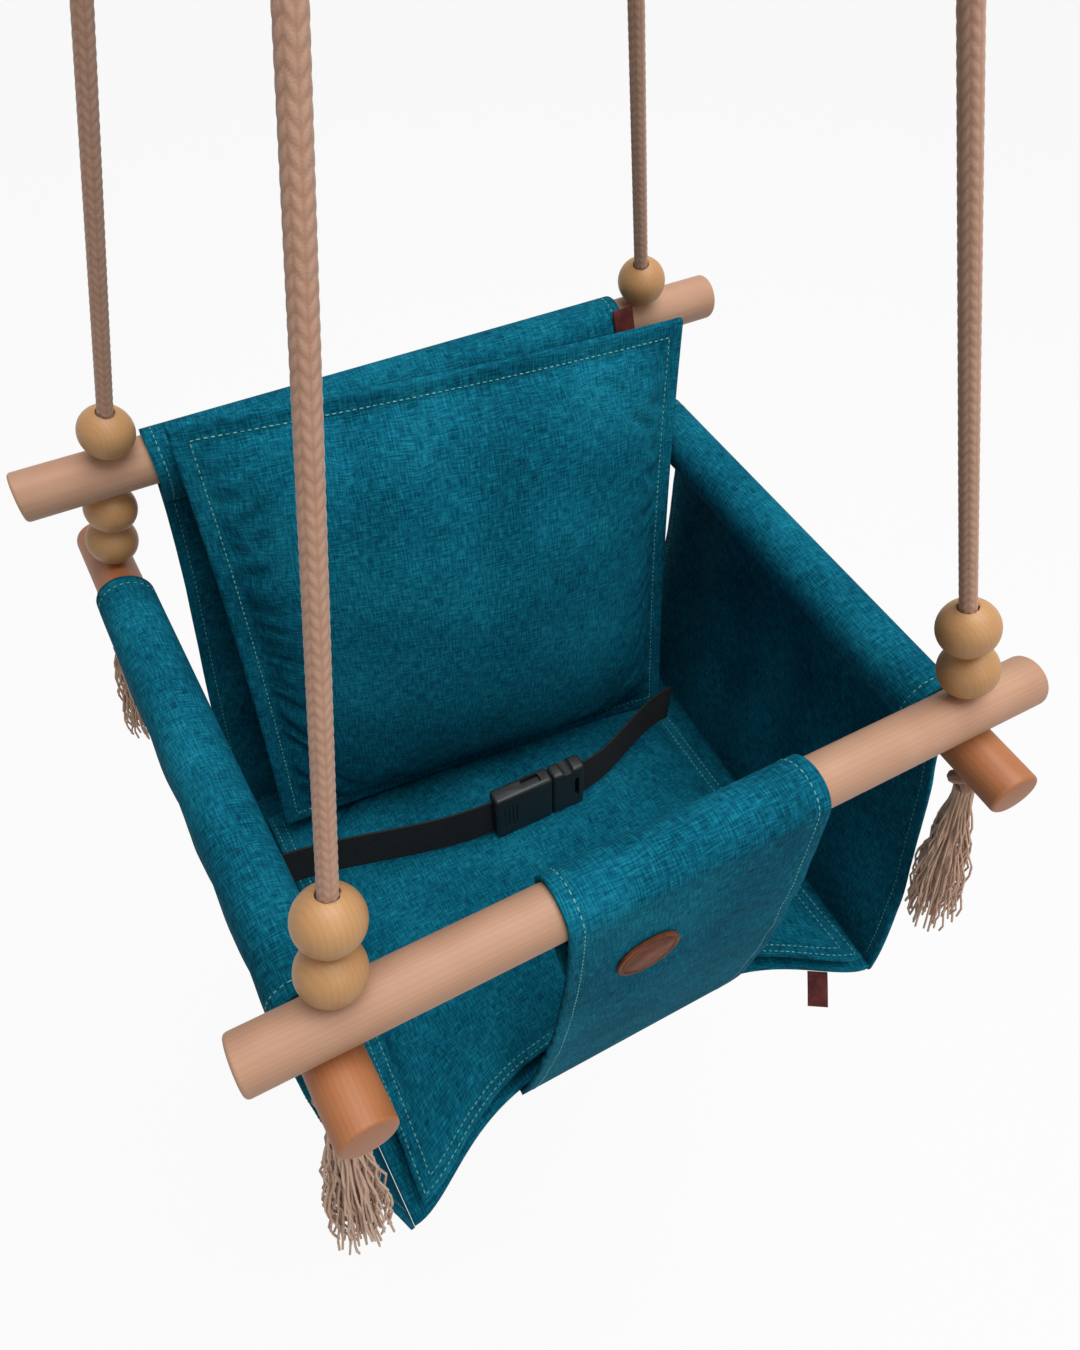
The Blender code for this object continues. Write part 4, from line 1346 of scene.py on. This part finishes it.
# %% [markdown]
# ## Waist belt and buckle
# The belt is black ribbed webbing, on edge behind the strap, with a moulded side-release buckle. The
# webbing's ribs are part of its mesh. The buckle could be one block, but its tongue slides out and its two
# prongs are squeezed, so it is made as it is moulded: blocks with soft edges, hollowed and cut through.

# %% Webbing finish
# Woven black polyester: dull and nearly even, with a faint ripple from its threads.
WEB_MM = 1.4
WEB_FLOAT_MM = 5.6
WEB_BUMP = 0.0004
WEBBING, shader = new_material("ribbed_webbing")
spot = add(WEBBING, "ShaderNodeTexCoord")
rows = add(
    WEBBING,
    "ShaderNodeMapping",
    {"Vector": spot.outputs["UV"], "Scale": (1000 / WEB_MM, 1000 / WEB_FLOAT_MM, 1)},
)
weave = add(
    WEBBING,
    "ShaderNodeTexNoise",
    {"Vector": rows.outputs["Vector"], "Scale": 1, "Detail": 3},
    noise_dimensions="2D",
)
tint = add(
    WEBBING,
    "ShaderNodeValToRGB",
    {"Fac": weave.outputs["Fac"]},
    stops=((0.3, "#08090A"), (0.7, "#141617")),
)
bump = add(
    WEBBING,
    "ShaderNodeBump",
    {"Height": weave.outputs["Fac"], "Strength": 0.6, "Distance": WEB_BUMP},
)
plug(WEBBING, shader, {"Base Color": tint.outputs["Color"], "Normal": bump.outputs["Normal"]})
plug(WEBBING, shader, {"Roughness": 0.75})
print("finish", WEBBING.name)

# %% Plastic finish
# Acetal from a spark-textured mould: black with a fine grit that breaks its gloss up. The real grit is
# too fine to show, so it is drawn coarser.
GRIT_MM = 0.7143
GRIT_BUMP = 0.0002
PLASTIC, shader = new_material("moulded_acetal")
spot = add(PLASTIC, "ShaderNodeTexCoord")
grit = add(
    PLASTIC,
    "ShaderNodeTexNoise",
    {"Vector": spot.outputs["Object"], "Scale": 1000 / GRIT_MM, "Detail": 2},
)
gloss = add(PLASTIC, "ShaderNodeMapRange", {"Value": grit.outputs["Fac"], "To Min": 0.38, "To Max": 0.55})
tint = add(
    PLASTIC,
    "ShaderNodeValToRGB",
    {"Fac": grit.outputs["Fac"]},
    stops=((0.3, "#1E1F20"), (0.7, "#2A2B2C")),
)
bump = add(
    PLASTIC,
    "ShaderNodeBump",
    {"Height": grit.outputs["Fac"], "Strength": 0.25, "Distance": GRIT_BUMP},
)
plug(PLASTIC, shader, {"Base Color": tint.outputs["Color"], "Normal": bump.outputs["Normal"]})
plug(PLASTIC, shader, {"Roughness": gloss.outputs["Result"]})
print("finish", PLASTIC.name)

# %% Webbing
WEB_THICK = 0.0020
BELT_WIDTH = 0.038
BELT_Y = 0.012
BELT_TURN = 0.030
BELT_Z = middle_of("buckle_socket").z
RIB = 0.00022
RIBS = 13
RIB_ROWS = 8


def belt_piece(name, node, start, end, body):
    def place(u, v):
        y = BELT_Y + BELT_TURN * ease(u) + RIB * math.sin(2 * math.pi * RIBS * v)
        return Vector((start + (end - start) * u, y, BELT_Z + (v - 0.5) * BELT_WIDTH))

    made, flat = cloth_piece(name, place, columns=60, rows=RIB_ROWS * RIBS, thickness=WEB_THICK - 2 * RIB)
    give(made, WEBBING, body)
    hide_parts(node)
    print(name, round(flat[0], 3), "m long")


low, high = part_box("belt_left")
belt_piece("webbing_left", "belt_left", high[0], low[0], "seat")
low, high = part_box("belt_right")
belt_piece("webbing_right", "belt_right", low[0], high[0], "tongue")

# %% Buckle helpers
BUCKLE = Vector((0.046, 0.013, 0.047))
BUCKLE_EDGE = 0.0026
BUCKLE_PLAY = 0.0005
SOCKET_WALL = 0.0024


def block(name, size, centre):
    deselect()
    bpy.ops.mesh.primitive_cube_add(size=1, location=centre)
    made = bpy.context.object
    made.name = name
    made.scale = size
    settle(made)
    return made


def soften(made, width, segments=4):
    rounding = made.modifiers.new("rounding", "BEVEL")
    rounding.width = width
    rounding.segments = segments
    rounding.limit_method = "ANGLE"
    apply_all(made)


def combine(made, other, operation):
    joint = made.modifiers.new("joint", "BOOLEAN")
    joint.operation = operation
    joint.object = other
    apply_all(made)
    bpy.data.objects.remove(other)


def finish_plastic(made, node, body):
    select_only(made)
    bpy.ops.object.shade_smooth_by_angle(angle=math.radians(35))
    give(made, PLASTIC, body)
    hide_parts(node)
    print(made.name, triangles(made), "triangles")


centre = middle_of("buckle_socket")
mouth = centre.x + BUCKLE.x / 2
inside = Vector((BUCKLE.x, BUCKLE.y - 2 * SOCKET_WALL, BUCKLE.z - 2 * SOCKET_WALL))
print("the buckle opens at", round(mouth, 3), "m from the middle")

# %% Buckle socket
WINDOW_LENGTH = 0.015
WINDOW_SETBACK = 0.008
WINDOW_EDGE = 0.002
GROOVES = 4
GROOVE_PITCH = 0.0032
GROOVE_WIDTH = 0.0011
GROOVE_DEPTH = 0.0012
GROOVE_SHARE = 0.52
FIRST_GROOVE_SHARE = 0.36
socket = block("moulded_socket", BUCKLE, centre)
soften(socket, BUCKLE_EDGE)
for number in range(GROOVES):
    groove_x = centre.x - BUCKLE.x * FIRST_GROOVE_SHARE + number * GROOVE_PITCH
    groove = block(
        "groove",
        (GROOVE_WIDTH, GROOVE_DEPTH, BUCKLE.z * GROOVE_SHARE),
        (groove_x, centre.y - BUCKLE.y / 2, centre.z),
    )
    combine(socket, groove, "DIFFERENCE")
combine(socket, block("hollow", inside, centre + Vector((SOCKET_WALL, 0, 0))), "DIFFERENCE")
window = block(
    "window",
    (WINDOW_LENGTH, inside.y, 2 * BUCKLE.z),
    (mouth - WINDOW_SETBACK - WINDOW_LENGTH / 2, centre.y, centre.z),
)
soften(window, WINDOW_EDGE)
combine(socket, window, "DIFFERENCE")
finish_plastic(socket, "buckle_socket", "seat")

# %% Buckle tongue
SCOOP_WIDTH = 0.010
SCOOP_HEIGHT = 0.012
SCOOP_SETBACK = 0.012
SCOOP_SHARE = 0.56
SCOOP_EDGE = 0.004
SLOT_WIDTH = 0.0035
SLOT_SHARE = 0.62
SLOT_SETBACK = 0.0065
SLOT_EDGE = 0.0012
GUIDE_OVERLAP = 0.006
GUIDE_HEIGHT = 0.006
low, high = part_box("buckle_tongue")
root = mouth + BUCKLE_PLAY
base = block(
    "moulded_tongue",
    (high[0] - root, BUCKLE.y, BUCKLE.z),
    ((high[0] + root) / 2, centre.y, centre.z),
)
soften(base, BUCKLE_EDGE)
for sign in (1, -1):
    scoop = block(
        "scoop",
        (SCOOP_WIDTH, 2 * BUCKLE.y, SCOOP_HEIGHT),
        (root + SCOOP_SETBACK, centre.y, centre.z + sign * BUCKLE.z * SCOOP_SHARE),
    )
    soften(scoop, SCOOP_EDGE)
    combine(base, scoop, "DIFFERENCE")
slot = block(
    "slot",
    (SLOT_WIDTH, 2 * BUCKLE.y, BELT_WIDTH * SLOT_SHARE),
    (high[0] - SLOT_SETBACK, centre.y, centre.z),
)
soften(slot, SLOT_EDGE)
combine(base, slot, "DIFFERENCE")
guide = block(
    "guide",
    (root + GUIDE_OVERLAP - low[0], inside.y - 2 * BUCKLE_PLAY, GUIDE_HEIGHT),
    ((root + GUIDE_OVERLAP + low[0]) / 2, centre.y, centre.z),
)
combine(base, guide, "UNION")
finish_plastic(base, "buckle_tongue", "tongue")

# %% Prongs
PRONG = Vector((0.025, inside.y - 2 * BUCKLE_PLAY, 0.004))
PRONG_EDGE = 0.0009
for name in ("upper", "lower"):
    node = "buckle_prong_" + name
    prong = block("moulded_prong_" + name, PRONG, middle_of(node))
    soften(prong, PRONG_EDGE, 3)
    finish_plastic(prong, node, "prong_" + name)

# %% [markdown]
# ## Leather
# A plain round patch with one pressed ring sits on the strap, and two small tags sit at the seams. The
# leather is smooth and waxed, with a fine pebbled grain and a colour that is cloudy from its dye. The ring
# could be a bump in the finish. It is inset and pushed down in the mesh, so that it shows a real edge.

# %% Leather finish
GRAIN_MM = 1.1
CLOUD_MM = 11.11
GRAIN_BUMP = 0.0002


def leather(name, dark, mid, light):
    """Smooth waxed hide: a cloudy brown with a fine grain and a soft, weak gloss."""
    finish, shader = new_material(name)
    spot = add(finish, "ShaderNodeTexCoord")
    pebble = add(
        finish,
        "ShaderNodeTexVoronoi",
        {"Vector": spot.outputs["Object"], "Scale": 1000 / GRAIN_MM},
    )
    cloud = add(
        finish,
        "ShaderNodeTexNoise",
        {"Vector": spot.outputs["Object"], "Scale": 1000 / CLOUD_MM, "Detail": 4},
    )
    tint = add(
        finish,
        "ShaderNodeValToRGB",
        {"Fac": cloud.outputs["Fac"]},
        stops=((0.3, dark), (0.5, mid), (0.7, light)),
    )
    bump = add(
        finish,
        "ShaderNodeBump",
        {"Height": pebble.outputs["Distance"], "Strength": 0.35, "Distance": GRAIN_BUMP},
    )
    plug(finish, shader, {"Base Color": tint.outputs["Color"], "Normal": bump.outputs["Normal"]})
    plug(finish, shader, {"Roughness": 0.6, "Specular IOR Level": 0.12})
    return finish


BROWN_LEATHER = leather("smooth_brown_leather", "#512A1B", "#733E26", "#8A5032")
RED_LEATHER = leather("red_brown_leather", "#451C1B", "#5C2A28", "#6E3633")
print("finishes", BROWN_LEATHER.name, "and", RED_LEATHER.name)

# %% Round patch
PATCH_R = 0.0175
LEATHER = 0.0018
PATCH_DROP = 0.053
PATCH_EDGE = 0.0003
# Steps of (inset, depth): a flat rim, the ring pressed in, and the middle brought up again.
PRESSED_RING = ((0.0006, 0.0), (0.0014, 0.0), (0.0003, -0.0005), (0.0008, 0.0), (0.0003, 0.0005))
FACING_STEP = 0.01
UPWARD = 0.9
down = STRAP_FALL * 2 / math.pi * math.asin(PATCH_DROP / STRAP_DROP)
here, there = strap_way(down), strap_way(down + FACING_STEP)
patch_facing = Vector((0, there[1] - here[1], there[0] - here[0])).normalized()
deselect()
bpy.ops.mesh.primitive_cylinder_add(vertices=72, radius=PATCH_R, depth=LEATHER)
patch = bpy.context.object
patch.name = "round_patch"
bpy.ops.object.mode_set(mode="EDIT")
bm = bmesh.from_edit_mesh(patch.data)
for face in bm.faces:
    face.select_set(face.normal.z > UPWARD)
bmesh.update_edit_mesh(patch.data)
for inset, depth in PRESSED_RING:
    bpy.ops.mesh.inset(thickness=inset, depth=depth)
bpy.ops.object.mode_set(mode="OBJECT")
soften(patch, PATCH_EDGE, 2)
patch.matrix_world = Matrix.Translation(middle_of("leather_patch")) @ turn_to(patch_facing)
settle(patch)
bpy.ops.object.shade_smooth_by_angle(angle=math.radians(40))
give(patch, BROWN_LEATHER)
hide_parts("leather_patch")
print("patch faces", [round(part, 2) for part in patch_facing])

# %% Folded tags
TAG = Vector((0.014, 0.024, LEATHER))
REAR_TAG_ANGLE = math.radians(72)
FRONT_TAG_FALL = math.radians(25)
FRONT_TAG_X = 0.142
TAG_CURL = 0.0004
TAG_EDGE = 0.0004


def tag_piece(name, node, turn):
    """A strip of leather that curls a little towards its ends."""
    made = block(name, TAG, (0, 0, 0))
    bpy.ops.object.mode_set(mode="EDIT")
    bpy.ops.mesh.select_all(action="SELECT")
    bpy.ops.mesh.subdivide(number_cuts=6)
    bpy.ops.object.mode_set(mode="OBJECT")
    for vert in made.data.vertices:
        vert.co.z -= TAG_CURL * (2 * vert.co.y / TAG.y) ** 2
    soften(made, TAG_EDGE, 2)
    made.data.transform(Matrix.Translation(middle_of(node)) @ turn)
    bpy.ops.object.shade_smooth_by_angle(angle=math.radians(40))
    give(made, RED_LEATHER)
    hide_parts(node)


def edge_turn(x):
    """Which way the seat panel's front edge runs at x."""
    ends = [notch(place / seat_half(-SEAT_FRONT)) for place in (x - TAG.x / 2, x + TAG.x / 2)]
    return math.atan2(ends[1] - ends[0], TAG.x)


front_turn = edge_turn(FRONT_TAG_X)
front_tag_turn = Euler((FRONT_TAG_FALL, 0, front_turn)).to_matrix().to_4x4()
tag_piece("folded_tag_rear", "leather_tag_rear", Matrix.Rotation(REAR_TAG_ANGLE, 4, "X"))
tag_piece("folded_tag_front", "leather_tag_front", front_tag_turn)
print("front tag turned", round(math.degrees(front_turn)), "degrees")

# %% [markdown]
# ## Floor and light
# The swing hangs over a plain pale floor in soft light from above and a little from the front. The levels
# are plain, so that a colour renders about as it is written.

# %% Floor
FLOOR_Z = -1.75
WHITE_SHARE = 0.92


def white_to_camera(finish, lit, output):
    """Shows the camera, and what reflects it, a white that keeps some of the lit surface's shade."""
    path = add(finish, "ShaderNodeLightPath")
    seen = path.outputs["Is Camera Ray"]
    for ray in ("Is Glossy Ray", "Is Transmission Ray"):
        either = add(finish, "ShaderNodeMath", {0: seen, 1: path.outputs[ray]}, operation="MAXIMUM")
        seen = either.outputs["Value"]
    share = add(finish, "ShaderNodeMath", {0: seen, 1: WHITE_SHARE}, operation="MULTIPLY")
    white = add(finish, "ShaderNodeEmission")
    mixed = add(
        finish,
        "ShaderNodeMixShader",
        {"Fac": share.outputs["Value"], 1: lit, 2: white.outputs["Emission"]},
    )
    plug(finish, output, {"Surface": mixed.outputs["Shader"]})


# Matt white paint, which keeps the swing's soft shadow.
floor_finish, shader = new_material("pale_floor")
plug(floor_finish, shader, {"Base Color": linear("#F6F6F5"), "Roughness": 0.9})
white_to_camera(floor_finish, shader.outputs["BSDF"], floor_finish.node_tree.nodes["Material Output"])
deselect()
bpy.ops.mesh.primitive_plane_add(size=40, location=(0, 0, FLOOR_Z))
floor = bpy.context.object
floor.name = "floor"
floor.data.materials.append(floor_finish)
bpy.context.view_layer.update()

# %% Lamps and world
LIT_SPOT = Vector((0, 0, -0.9))
SKY_STRENGTH = 0.14


def soft_lamp(name, place, size, power):
    lamp = bpy.data.lights.new(name, "AREA")
    lamp.shape = "DISK"
    lamp.size = size
    lamp.energy = power
    made = bpy.data.objects.new(name, lamp)
    bpy.context.scene.collection.objects.link(made)
    made.location = place
    made.rotation_euler = (LIT_SPOT - Vector(place)).to_track_quat("-Z", "Y").to_euler()
    print("lamp", name, "of", power, "W")


soft_lamp("overhead", place=(0.4, -0.3, 1.4), size=2.2, power=57)
soft_lamp("front_fill", place=(0.3, -2.3, 0.5), size=1.6, power=13)
world = bpy.data.worlds.new("studio")
world.use_nodes = True
sky = world.node_tree.nodes["Background"]
plug(world, sky, {"Color": linear("#FFFFFF"), "Strength": SKY_STRENGTH})
white_to_camera(world, sky.outputs["Background"], world.node_tree.nodes["World Output"])
bpy.context.scene.world = world
bpy.context.scene.view_settings.view_transform = "Standard"
